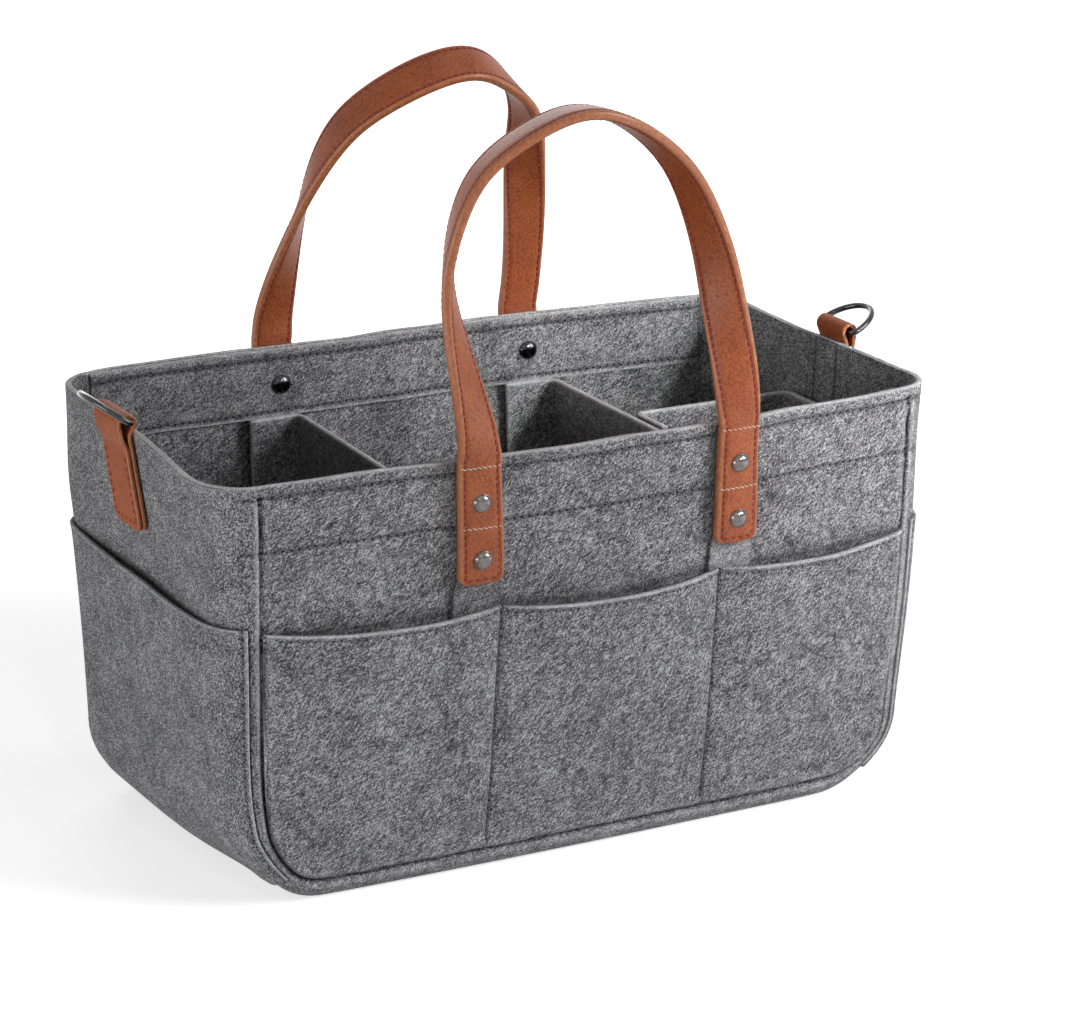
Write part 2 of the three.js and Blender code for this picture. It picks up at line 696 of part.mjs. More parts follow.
// A D-shaped ring of round wire: a straight side, two tight corners and a deep arc
function ringGeometry() {
  const half = tabWidth / 2 + ringWireRadius + ringSideGap;
  const corner = ringCornerRadius;
  const path = [];
  for (const share of steps(flatSteps)) path.push([lerp(-half + corner, half - corner, share), 0]);
  for (const share of steps(bendSteps).slice(1)) {
    const turn = share * quarterTurn;
    path.push([half - corner + corner * Math.sin(turn), corner - corner * Math.cos(turn)]);
  }
  for (const share of steps(ringArcSteps).slice(1, -1)) {
    const turn = share * Math.PI;
    path.push([half * Math.cos(turn), corner + (ringReach - corner) * Math.sin(turn)]);
  }
  for (const share of steps(bendSteps).slice(0, -1)) {
    const turn = share * quarterTurn;
    path.push([-half + corner - corner * Math.cos(turn), corner - corner * Math.sin(turn)]);
  }
  const rings = path.map(([y, a], i) => {
    const [nextY, nextA] = path[(i + 1) % path.length];
    const [lastY, lastA] = path[(i + path.length - 1) % path.length];
    const tangent = point(nextA - lastA, nextY - lastY, 0).normalize();
    const across = point(-tangent.y, tangent.x, 0);
    return Array.from({ length: wireSides }, (unused, k) => {
      const turn = (k / wireSides) * 2 * Math.PI;
      const spoke = across.clone().multiplyScalar(Math.cos(turn));
      spoke.z = Math.sin(turn);
      return point(a, y, 0).addScaledVector(spoke, ringWireRadius);
    });
  });
  return loft(rings, true);
}

const ringX = tabSetback + tabThickness / 2;
for (const [side, end, shift, lean, tilt] of [
  ['left', -1, leftTabShift, leftTabLean, leftRingDegrees],
  ['right', 1, rightTabShift, rightTabLean, rightRingDegrees],
]) {
  add(`${side}_ring_tab`, ringTab(end, shift, lean), leather);
  const ring = add(`${side}_ring`, ringGeometry(), blackNickel);
  ring.position.set(end * ringX, shift, eyeZ);
  ring.rotation.set(0, end < 0 ? Math.PI + radians(tilt) : -radians(tilt), 0);
}

// Dividers: a plate with both ends folded, held to the walls by hook tape on the folds

const tapeInner = feltThickness + seatGap;
const foldStandoff = tapeInner + tapeThickness + seatGap;
const wallInsideX = (z) => halfLength(z) - feltThickness;

// Lays a strip with two bends through four corner points and gives both its faces at a level
function bentStrip(corners, z) {
  const path = [];
  corners.forEach((corner, k) => {
    if (k === 0 || k === corners.length - 1) {
      path.push(corner.clone());
      return;
    }
    const toLast = corners[k - 1].clone().sub(corner).normalize().multiplyScalar(dividerBend);
    const toNext = corners[k + 1].clone().sub(corner).normalize().multiplyScalar(dividerBend);
    const bend = new THREE.QuadraticBezierCurve(corner.clone().add(toLast), corner, corner.clone().add(toNext));
    path.push(...bend.getPoints(bendSteps));
  });
  return path.map((p, i) => {
    const before = path[Math.max(i - 1, 0)];
    const after = path[Math.min(i + 1, path.length - 1)];
    const tangent = after.clone().sub(before).normalize();
    return { at: point(p.x, p.y, z), normal: point(-tangent.y, tangent.x, 0) };
  });
}

function bentPlate(cornersAt, foldBottom, lowerPlate) {
  const levels = steps(flatSteps).map((share) => lerp(foldBottom, dividerTop, share));
  const strips = levels.map((z) => bentStrip(cornersAt(z), z));
  const face = (side) => strips.map((row) => row.map(({ at, normal }) => {
    return at.clone().addScaledVector(normal, (side * dividerThickness) / 2);
  }));
  return geometryOf(solid(sheet(face(1), face(-1))).add(solid(lowerPlate)));
}

const flat = (p) => new THREE.Vector2(p.x, p.y);
const plateBottom = feltThickness + dividerClearance;
const plateTop = dividerLower + dividerBend; // the plain plate runs up into the folded one

// Below the folds the plate narrows to clear the rolled edge of the base
function uprightPlate(frontX, backX) {
  const rows = [plateBottom, dividerLower, plateTop];
  const full = baseDepth / 2 - foldStandoff;
  const grid = (side) => rows.map((z) => {
    const margin = foldStandoff + dividerBend + (z < dividerLower ? baseRoll : 0);
    const half = halfDepth(z) - margin;
    return [-half, half].map((y) => {
      const x = THREE.MathUtils.mapLinear(y, -full, full, frontX, backX);
      return point(x + (side * dividerThickness) / 2, y, z);
    });
  });
  return sheet(grid(1), grid(-1));
}

function longWallDivider(frontX, backX) {
  const standoff = -foldStandoff - dividerThickness / 2;
  const cornersAt = (z) => [
    flat(wallPoint(front, frontX - dividerFold, z, standoff)),
    flat(wallPoint(front, frontX, z, standoff)),
    flat(wallPoint(back, backX, z, standoff)),
    flat(wallPoint(back, backX - dividerFold, z, standoff)),
  ];
  return bentPlate(cornersAt, dividerLower, uprightPlate(frontX, backX));
}

// The cross divider's folds start above the curve of the end wall, and its plate follows that curve
const crossStandoff = 2 * seatGap + tapeThickness + dividerThickness / 2;
const crossLeftX = rightDividerX + dividerThickness / 2 + crossStandoff;
const crossRightX = (z) => wallInsideX(z) - crossStandoff;

function crossLowerPlate() {
  const reach = crossRightX(endCornerHeight) - dividerBend - dividerClearance;
  const start = crossLeftX + dividerBend + dividerClearance;
  const top = endCornerHeight + dividerBend;
  const shape = new THREE.Shape();
  shape.moveTo(start, top);
  shape.lineTo(start, plateBottom);
  shape.lineTo(cornerX, plateBottom);
  shape.absellipse(
    cornerX, endCornerHeight, reach - cornerX, endCornerHeight - plateBottom, -quarterTurn, 0, false,
  );
  shape.lineTo(reach, top);
  shape.closePath();
  const settings = { depth: dividerThickness, bevelEnabled: false, curveSegments: cornerSteps };
  const plate = new THREE.ExtrudeGeometry(shape, settings).rotateX(quarterTurn);
  return plate.translate(0, crossDividerY + dividerThickness / 2, 0);
}

function crossDivider() {
  const cornersAt = (z) => [
    new THREE.Vector2(crossLeftX, crossDividerY - dividerFold),
    new THREE.Vector2(crossLeftX, crossDividerY),
    new THREE.Vector2(crossRightX(z), crossDividerY),
    new THREE.Vector2(crossRightX(z), crossDividerY - dividerFold),
  ];
  return bentPlate(cornersAt, endCornerHeight, crossLowerPlate());
}

function foldTape(wall, x) {
  const middle = x - dividerFold / 2 - dividerBend / 2;
  const half = tapeWidth / 2;
  return wallLayer(
    wall, middle - half, middle + half, tapeBottom, tapeTop, -tapeInner - tapeThickness, -tapeInner, flatSteps, 1,
  );
}

for (const [side, frontX, backX] of [
  ['left', leftDividerFrontX, leftDividerBackX],
  ['right', rightDividerX, rightDividerX],
]) {
  add(`${side}_divider`, longWallDivider(frontX, backX), felt);
  add(`${side}_divider_front_tape`, foldTape(front, frontX), tapeNylon);
  add(`${side}_divider_back_tape`, foldTape(back, backX), tapeNylon);
}
add('cross_divider', crossDivider(), felt);

function crossTape(faceAt, side) {
  const middle = crossDividerY - dividerFold / 2 - dividerBend / 2;
  const rows = [endCornerHeight + dividerBend, tapeTop];
  const grid = (away) => rows.map((z) => [-tapeWidth / 2, tapeWidth / 2].map((y) => {
    return point(faceAt(z) + side * (seatGap + away), middle + y, z);
  }));
  return sheet(grid(0), grid(tapeThickness));
}

add('cross_divider_left_tape', crossTape(() => rightDividerX + dividerThickness / 2, 1), tapeNylon);
add('cross_divider_right_tape', crossTape(wallInsideX, -1), tapeNylon);

export default caddy;
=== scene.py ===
import json
import math
import bpy
import bmesh
import numpy as np
from mathutils import Matrix, Vector


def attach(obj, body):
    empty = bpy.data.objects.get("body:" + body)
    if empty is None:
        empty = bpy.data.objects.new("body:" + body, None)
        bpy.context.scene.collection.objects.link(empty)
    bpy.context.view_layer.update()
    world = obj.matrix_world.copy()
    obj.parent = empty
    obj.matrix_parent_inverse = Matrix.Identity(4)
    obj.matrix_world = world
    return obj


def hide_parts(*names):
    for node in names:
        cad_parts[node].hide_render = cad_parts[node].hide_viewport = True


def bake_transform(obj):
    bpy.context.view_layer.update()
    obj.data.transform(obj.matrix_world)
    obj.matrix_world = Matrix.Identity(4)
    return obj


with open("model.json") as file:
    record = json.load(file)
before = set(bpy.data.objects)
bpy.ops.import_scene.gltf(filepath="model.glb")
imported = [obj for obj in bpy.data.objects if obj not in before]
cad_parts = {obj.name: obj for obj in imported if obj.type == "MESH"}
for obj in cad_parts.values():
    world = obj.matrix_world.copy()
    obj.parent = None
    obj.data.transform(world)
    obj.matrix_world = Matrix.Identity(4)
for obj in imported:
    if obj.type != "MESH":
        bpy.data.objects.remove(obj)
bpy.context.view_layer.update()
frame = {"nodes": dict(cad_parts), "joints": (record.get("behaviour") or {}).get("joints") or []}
print("frame loaded:", len(frame["nodes"]), "CAD nodes")

metresPerMm = 0.001

caddy = {  # the felt body as it is packed, in millimetres
    "height": 180, "rimLength": 328, "baseLength": 315, "rimDepth": 172, "baseDepth": 162,
    "frontBow": 9.5, "backBow": 8, "wallFelt": 2.8, "seat": 0.3,
    "cornerRadius": 20, "baseRoll": 8, "endCornerLength": 40, "endCornerHeight": 35,
    "rimSeamInset": 14, "baseSeamInset": 12.5, "seamRise": 10,
    "seamDepth": 1.8, "seamWidth": 0.9, "seamInside": 0.3,  # how deep and wide a sewn seam pulls in
    "gussetBead": 0.6, "panelBead": 0.2, "beadGap": 3.3, "beadWidth": 1.7,  # the turned felt beside it
    "rimStitchZ": 174.8, "rimGroove": 1.15, "rimBead": 0.35, "rimRoll": 0.8,
    "lipClosesZ": 176.5, "lipFade": 1.5,
    "facingStitchZ": 152.4, "stitchDip": 0.7, "stitchDipWidth": 1.0, "cutEdgeRoundness": 0.4,
}
rimZ, cornerZ = caddy["height"], caddy["endCornerHeight"]
farAway = 99.0  # from any seam, in millimetres
settling = [  # where the felt has sagged or been pushed, in millimetres
    {"at": (-160, -50, 180), "spread": (22, 21, 45), "move": (-0.8, 0, -4.6)},
    {"at": (164, -80, 180), "spread": (26, 22, 70), "move": (-1.3, 0.6, 0.3)},
    {"at": (164, 30, 180), "spread": (18, 40, 45), "move": (0.1, 0, -1.5)},
    {"at": (-158, 78, 185), "spread": (30, 30, 26), "move": (0.2, 0, 0.4)},
    {"at": (-112, 92, 180), "spread": (30, 20, 30), "move": (0, 0.4, 1.7)},
    {"at": (55, 92, 180), "spread": (42, 20, 26), "move": (0, 0.2, 0.7)},
    {"at": (-160, 72, 142), "spread": (30, 32, 14), "move": (-1.5, 0, 0)},
    {"at": (-162, 82, 55), "spread": (36, 40, 44), "move": (1.2, 0, 0)},
    {"at": (0, -95, 180), "spread": (45, 12, 30), "move": (0, 0.6, -0.4)},
    {"at": (-140, -88, 60), "spread": (16, 26, 34), "move": (-1.6, 0, 0)},
    {"at": (-122, -88, 8), "spread": (13, 22, 16), "move": (-4.2, 0, 0)},
    {"at": (-152, -64, 12), "spread": (18, 26, 18), "move": (5.2, 0, 2.2)},
    {"at": (-25, -84, 4), "spread": (75, 14, 6), "move": (0, -1.8, 0)},
    {"at": (152, -78, 30), "spread": (26, 24, 34), "move": (-2.4, 0, 0)},
    {"at": (146, -84, 4), "spread": (17, 26, 12), "move": (-1.2, 0, 1.8)},
    {"at": (164, -70, 85), "spread": (14, 30, 34), "move": (0.9, 0, 0)},
]
ripples = [  # slow waves in the felt: how high, how long in x, y and z, where they start
    {"rise": 0.45, "length": (71, 53, 120), "start": 0.8},
    {"rise": 0.3, "length": (37, 29, 64), "start": 2.1},
]


# Small helpers

def mix(a, b, share):
    return a + (b - a) * share


def smooth(low, high, value):
    share = np.clip((np.asarray(value, float) - low) / (high - low), 0, 1)
    return share * share * (3 - 2 * share)


def hump(distance, width):
    return np.exp(-((distance / width) ** 2))


def unit(vectors):
    return vectors / np.maximum(np.linalg.norm(vectors, axis=-1, keepdims=True), 1e-9)


def runLength(points):  # the distance along a path at each of its points
    return np.concatenate([[0], np.cumsum(np.linalg.norm(np.diff(points[:, :3], axis=0), axis=1))])


def alongPath(points, distance):  # points and their values at distances along a path
    steps = runLength(points)
    return np.stack([np.interp(distance, steps, points[:, k]) for k in range(points.shape[1])], -1)


# closer rows of points beside each line of stitches
besideStitches = (-3.4, -2.1, -1.2, -0.6, 0, 0.6, 1.2, 2.1, 3.1, 4, 4.7)


def spacing(low, high, step, lines=(), offsets=besideStitches, margin=0.4):
    fine = [line + offset for line in lines for offset in offsets]
    fine = [value for value in fine if low + margin < value < high - margin]
    count = max(int(round((high - low) / step)), 1)
    coarse = [value for value in np.linspace(low, high, count + 1)[1:-1]
              if all(abs(value - line) > max(offsets) + step * 0.3 for line in lines)]
    return np.array(sorted([low, high, *fine, *coarse]))


def settle(points):
    moved = np.array(points, float)
    rest = moved.copy()
    for spot in settling:
        away = (rest - np.array(spot["at"])) / np.array(spot["spread"])
        moved += np.exp(-0.5 * (away ** 2).sum(-1))[..., None] * np.array(spot["move"])
    hold = np.clip(rest[..., 2] / rimZ, 0, 1) ** 1.5  # the base stays flat
    for wave in ripples:
        phase = sum(rest[..., k] / wave["length"][k] for k in range(3)) * 2 * math.pi + wave["start"]
        moved[..., 1] += wave["rise"] * hold * np.sin(phase)
        moved[..., 2] += wave["rise"] * 0.4 * hold * np.cos(phase * 0.8)
    return moved


# Shapes of the felt body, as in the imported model

def halfLength(z):
    return mix(caddy["baseLength"], caddy["rimLength"], z / rimZ) / 2


def halfSeam(z):
    return halfLength(z) - mix(caddy["baseSeamInset"], caddy["rimSeamInset"], z / rimZ)


def belowLip(z):  # 1 below the rim's lip and 0 on it, because the lip runs on over the seams
    return 1 - smooth(caddy["lipClosesZ"] - caddy["lipFade"], caddy["lipClosesZ"], z)


def halfPanel(z):
    return halfSeam(z) + caddy["seat"] * (1 - 2 * belowLip(z))


def wallSurface(side, x, z, outside):
    x, z, outside = np.broadcast_arrays(*(np.asarray(value, float) for value in (x, z, outside)))
    bow = (caddy["frontBow"] if side < 0 else caddy["backBow"]) * z / rimZ
    half = caddy["rimLength"] / 2
    share = x / half
    slope = -2 * bow * share / half
    level = 1 / np.sqrt(1 + slope ** 2)
    depth = mix(caddy["baseDepth"], caddy["rimDepth"], z / rimZ) / 2 + bow * (1 - share ** 2)
    return np.stack([x - slope * level * outside, side * (depth + level * outside), z], -1)


def wallNormal(side, x, z):
    here = wallSurface(side, x, z, 0)
    along = wallSurface(side, np.asarray(x) + 1, z, 0) - here
    up = wallSurface(side, x, np.asarray(z) + 1, 0) - here
    return unit(np.cross(up, along) * side)


def seamRelief(distance, z, bead):  # how far the felt lies in beside a sewn seam
    groove = caddy["seamDepth"] * hump(distance, caddy["seamWidth"])
    return (groove - bead * hump(distance - caddy["beadGap"], caddy["beadWidth"])) * belowLip(z)


def stitchRelief(z):  # the grooves at both rows of stitches and the rounded lip above them
    up = np.clip((z - caddy["rimStitchZ"]) / (rimZ - caddy["rimStitchZ"]), 0, 1)
    lip = caddy["rimRoll"] * smooth(0.55, 1, up) ** 1.5 - caddy["rimBead"] * np.sin(up * math.pi)
    rim = caddy["rimGroove"] * hump(z - caddy["rimStitchZ"], caddy["stitchDipWidth"])
    return lip + rim + caddy["stitchDip"] * hump(z - caddy["facingStitchZ"], caddy["stitchDipWidth"])


feltTone = {  # painted shade in grooves and at stitches, painted highlight on seam ridges and the rim's top: how strong, and how wide in millimetres
    "seamWidth": 0.8, "stitches": 0.9, "rimStitchWidth": 0.85, "facingShare": 0.85, "facingStitchWidth": 0.75,
    "ridgeGap": 2.4, "ridgeWidth": 1.1, "rimFluff": 0.8, "rimFluffFrom": 178.6, "rimFluffTo": 179.8,
}


# painted shading: 1 for painted shade in a groove, -1 for a painted highlight on a seam ridge and on the
# rim's top
def paintedShadingAt(seamGap, z, stitched=1.0, ridge=0.0):
    rim = hump(z - caddy["rimStitchZ"], feltTone["rimStitchWidth"])
    facing = feltTone["facingShare"] * hump(z - caddy["facingStitchZ"], feltTone["facingStitchWidth"])
    groove = hump(seamGap, feltTone["seamWidth"]) * belowLip(z)
    groove = groove + feltTone["stitches"] * (rim + facing) * stitched
    paintedHighlight = ridge * hump(seamGap - feltTone["ridgeGap"], feltTone["ridgeWidth"]) * belowLip(z)
    paintedHighlight = paintedHighlight + feltTone["rimFluff"] * smooth(feltTone["rimFluffFrom"], feltTone["rimFluffTo"], z)
    return np.clip(groove, 0, 1) - np.clip(paintedHighlight, 0, 1)


def mouthShade(above, shades):  # the shade that an open pocket casts on the wall above its mouth
    return sum(strength * hump(above, width) for strength, width in shades)


cornerX = halfLength(cornerZ) - caddy["endCornerLength"]


def profile(place, halfAt, rise):  # place is 0 at the rim, 1 above the corner, 2 on the base, 3 at mid length
    place = np.asarray(place, float)
    wallZ = mix(rimZ, cornerZ, np.minimum(place, 1))
    turn = np.clip(place - 1, 0, 1) * math.pi / 2
    x = np.where(place <= 1, halfAt(wallZ), mix(cornerX, halfAt(cornerZ), np.cos(turn)))
    x = np.where(place > 2, mix(cornerX, 0, place - 2), x)
    z = np.where(place <= 1, wallZ, cornerZ - (cornerZ - rise) * np.sin(turn))
    return x, z


def curlRadius(place):
    return mix(caddy["cornerRadius"], caddy["baseRoll"], np.clip(place - 1, 0, 1))


def stripSurface(end, place, side, turn):  # turn is 1 at a seam and 0 where the curl ends
    outerX, outerZ = profile(place, halfLength, 0)
    seamX, seamZ = profile(place, halfSeam, caddy["seamRise"])
    seamY = wallSurface(side, end * seamX, seamZ, 0)[..., 1]
    inward = 1 - np.cos(turn * math.pi / 2)
    outward = np.sin(turn * math.pi / 2)
    y = seamY - side * curlRadius(place) * (1 - outward)
    return np.stack(np.broadcast_arrays(end * mix(outerX, seamX, inward), y, mix(outerZ, seamZ, inward)), -1)


def stripGrid(ends, places, turns, flats):  # one row for each place, from the front seam to the back seam
    rows, seamGaps = [], []
    for end, place in zip(ends, places):
        frontCurl = stripSurface(end, place, -1, turns)
        backCurl = stripSurface(end, place, 1, turns[::-1])
        rows.append(np.concatenate([frontCurl, mix(frontCurl[-1], backCurl[0], flats[:, None]), backCurl]))
        curlGap = (1 - turns) * math.pi / 2 * curlRadius(place)
        seamGaps.append(np.concatenate([curlGap, np.full(len(flats), farAway), curlGap[::-1]]))
    return np.array(rows), np.array(seamGaps)


def gridNormals(grid, outwardFrom):
    normal = unit(np.cross(np.gradient(grid, axis=0), np.gradient(grid, axis=1)))
    facing = np.sign((normal * (grid - np.array(outwardFrom))).sum(-1, keepdims=True))
    return normal * facing


# Meshes

def newPiece(name, points, faces, materials, slots=None, crease=None):
    mesh = bpy.data.meshes.new(name)
    points = (np.asarray(points) * metresPerMm).tolist()
    mesh.from_pydata(points, [], [list(map(int, face)) for face in faces])
    for material in materials:
        mesh.materials.append(material)
    if slots is not None:
        mesh.polygons.foreach_set("material_index", np.asarray(slots, np.int32))
    mesh.polygons.foreach_set("use_smooth", np.ones(len(mesh.polygons), bool))
    shell = bmesh.new()
    shell.from_mesh(mesh)
    bmesh.ops.recalc_face_normals(shell, faces=shell.faces)
    shell.to_mesh(mesh)
    shell.free()
    # painted shading for the felt materials: painted shade above 0, painted highlight below 0
    if crease is not None:
        pressed = mesh.attributes.new("crease", "FLOAT", "POINT")
        pressed.data.foreach_set("value", np.asarray(crease, np.float32))
    mesh.update()
    piece = bpy.data.objects.new(name, mesh)
    bpy.context.scene.collection.objects.link(piece)
    return piece


def gridFaces(ids):
    return np.stack([ids[:-1, :-1], ids[:-1, 1:], ids[1:, 1:], ids[1:, :-1]], -1).reshape(-1, 4)


def tubeFaces(ids):  # between rings of points, closed round the last axis
    turned = np.roll(ids, -1, axis=-1)
    corners = [ids[..., :-1, :], turned[..., :-1, :], turned[..., 1:, :], ids[..., 1:, :]]
    return np.stack(corners, -1).reshape(-1, 4)


edgeSteps, edgeFullness = 3, 0.7  # rings round a cut edge, and how square it is


def sheetShell(outer, inner, roundness, crease=0, inside=None):  # a sheet's two faces and its soft cut edge
    rows, columns = outer.shape[:2]
    ids = np.arange(rows * columns).reshape(rows, columns)
    border = np.concatenate([ids[0], ids[1:, -1], ids[-1, -2::-1], ids[-2:0:-1, 0]])
    middle = (outer + inner) / 2
    edge = np.zeros_like(middle)
    edge[0] += unit(middle[0] - middle[1])
    edge[-1] += unit(middle[-1] - middle[-2])
    edge[:, 0] += unit(middle[:, 0] - middle[:, 1])
    edge[:, -1] += unit(middle[:, -1] - middle[:, -2])
    outward = unit(edge.reshape(-1, 3)[border])
    faces = [np.array(outer, float).reshape(-1, 3), np.array(inner, float).reshape(-1, 3)]
    half = (faces[0] - faces[1])[border] / 2
    bulge = np.linalg.norm(half, axis=1, keepdims=True) * roundness
    for face in faces:
        face[border] -= outward * bulge
    centre = (faces[0] + faces[1])[border] / 2
    count = rows * columns
    loops = [border]
    rings = []
    for turn in np.linspace(0, math.pi, edgeSteps + 2)[1:-1]:
        c, s = math.cos(turn), math.sin(turn)
        level = centre + half * math.copysign(abs(c) ** edgeFullness, c)
        rings.append(level + outward * bulge * s ** edgeFullness)
        loops.append(2 * count + (len(rings) - 1) * len(border) + np.arange(len(border)))
    loops.append(border + count)
    points = np.concatenate([*faces, *rings])
    quads = [gridFaces(ids), gridFaces(ids + count)[:, ::-1]]
    for a, b in zip(loops[:-1], loops[1:]):
        quads.append(np.stack([a, np.roll(a, -1), np.roll(b, -1), b], -1))
    slots = np.repeat([0, 1], [len(quads[0]) + len(quads[1]), len(border) * (edgeSteps + 1)])
    # painted shading at each point: the inner face gets half of the outer face's unless given, and the cut
    # edge copies the border's
    pressed = np.broadcast_to(crease, (rows, columns)).ravel()
    within = pressed * 0.5 if inside is None else inside.ravel()
    pressed = np.concatenate([pressed, within, *[pressed[border]] * edgeSteps])
    return points, np.concatenate(quads), slots, pressed


def sheetPiece(name, outer, inner, materials, crease=0, roundness=caddy["cutEdgeRoundness"], inside=None):
    points, faces, slots, pressed = sheetShell(outer, inner, roundness, crease, inside=inside)
    return newPiece(name, settle(points), faces, materials, slots, pressed)


def lathePiece(name, outline, sides, material):  # outline is (radius, height), turned about +Y
    turns = np.arange(sides) / sides * 2 * math.pi
    points = [np.stack([r * np.cos(turns), np.full(sides, h), r * np.sin(turns)], -1) for r, h in outline]
    ids = np.arange(len(outline) * sides).reshape(-1, sides)
    return newPiece(name, np.concatenate(points), [*tubeFaces(ids), ids[0], ids[-1, ::-1]], [material])


stitchForm = {"sides": 6, "shares": (0, 0.16, 0.5, 0.84, 1), "swell": (0.55, 0.95, 1, 0.95, 0.55),
              "lift": (-0.7, 0.15, 0.35, 0.15, -0.7), "pitLift": 0.06}  # thin ends that dive into the sheet


def withNormals(points, normals):  # a path for stitches: a point and a surface normal in each row
    return np.concatenate([points, np.broadcast_to(normals, points.shape)], 1)


def stitchPiece(name, paths, thread, materials):
    sides = stitchForm["sides"]
    turns = (np.arange(sides) / sides * 2 * math.pi)[:, None]
    shares, swell, lift = (np.array(stitchForm[key]) for key in ("shares", "swell", "lift"))
    rings, pits = [], [np.zeros((0, sides, 3))]
    for path in paths:
        reach = runLength(path)[-1]
        count = max(int(reach / thread["pitch"]), 1)
        start = (np.arange(count) + 0.5) * (reach / count) - thread["length"] / 2
        at = (start[:, None] + shares * thread["length"]).ravel()
        found = alongPath(path, np.clip(at, 0, reach)).reshape(count, len(shares), 6)
        centre, normal = found[..., :3], unit(found[..., 3:])
        sideways = unit(np.cross(unit(centre[:, -1:] - centre[:, :1]), normal))
        centre = centre + sideways * ((shares - 0.5) * thread["length"] * thread["slant"])[:, None]
        centre = centre + normal * (lift * thread["radius"])[:, None]
        ring = np.cos(turns) * sideways[:, :, None] + np.sin(turns) * normal[:, :, None]
        rings.append(centre[:, :, None] + ring * (swell * thread["radius"])[:, None, None])
        if "hole" in thread:  # the pit that the needle leaves between two stitches, drawn as a near-black disc of painted shade
            found = alongPath(path, np.arange(count + 1) * reach / count)[:, None]
            normal = unit(found[..., 3:])
            side = unit(np.cross(normal, (0.31, 0.22, 0.93)))
            circle = side * np.cos(turns) + np.cross(normal, side) * np.sin(turns)
            pits.append(found[..., :3] + normal * stitchForm["pitLift"] + thread["hole"] * circle)
    points, pits = np.concatenate(rings).reshape(-1, 3), np.concatenate(pits)
    ids = np.arange(len(points)).reshape(-1, len(shares), sides)
    faces = [*tubeFaces(ids), *ids[:, 0, ::-1], *ids[:, -1]]
    slots = [0] * len(faces) + [1] * len(pits)
    faces += list(len(points) + np.arange(len(pits) * sides).reshape(-1, sides))
    return newPiece(name, np.concatenate([points, pits.reshape(-1, 3)]), faces, materials, slots)


# Materials

def colour(hexText):  # an sRGB hex value as linear light
    parts = [int(hexText[k:k + 2], 16) / 255 for k in (1, 3, 5)]
    return [part / 12.92 if part <= 0.04045 else ((part + 0.055) / 1.055) ** 2.4 for part in parts] + [1.0]


def addNode(tree, kind, settings=None, inputs=None):
    node = tree.nodes.new(kind)
    for key, value in (settings or {}).items():
        setattr(node, key, value)
    for key, value in (inputs or {}).items():
        if isinstance(value, bpy.types.NodeSocket):
            tree.links.new(value, node.inputs[key])
        else:
            node.inputs[key].default_value = value
    return node


def newMaterial(name):
    material = bpy.data.materials.new(name)
    material.use_nodes = True
    material.node_tree.nodes.clear()
    return material, material.node_tree


def setRamp(node, stops):
    ramp = node.color_ramp
    while len(ramp.elements) > 1:
        ramp.elements.remove(ramp.elements[-1])
    ramp.elements[0].position, ramp.elements[0].color = stops[0][0], colour(stops[0][1])
    for place, tint in stops[1:]:
        ramp.elements.new(place).color = colour(tint)
    return node.outputs["Color"]


def perMetre(millimetres):
    return 1 / (millimetres * metresPerMm)


feltLook = {  # polyester felt, needled from charcoal and near-white fibres; sizes in millimetres
    "dark": "#1f1f21", "middle": "#69696b", "pale": "#bcbcbe", "contrast": 1.45,
    "speck": 0.78, "blotch": 5.5, "cloud": 21, "weights": (1.1, 0.3, 0.24),
    "fibreLength": 4.6, "fibreWidth": 0.52, "fibreWeight": 0.8, "fibreTurns": (0.35, -0.5, 0.8),
    "roughness": 0.96, "bump": 0.5, "bumpDepth": 0.3, "sheen": 0.1,
    # painted shade and painted highlight: how far the colour goes towards each tint
    "creaseShade": 0.85, "creaseTint": "#26262a", "ridgeShade": 0.75, "ridgeTint": "#a8a8aa",
}


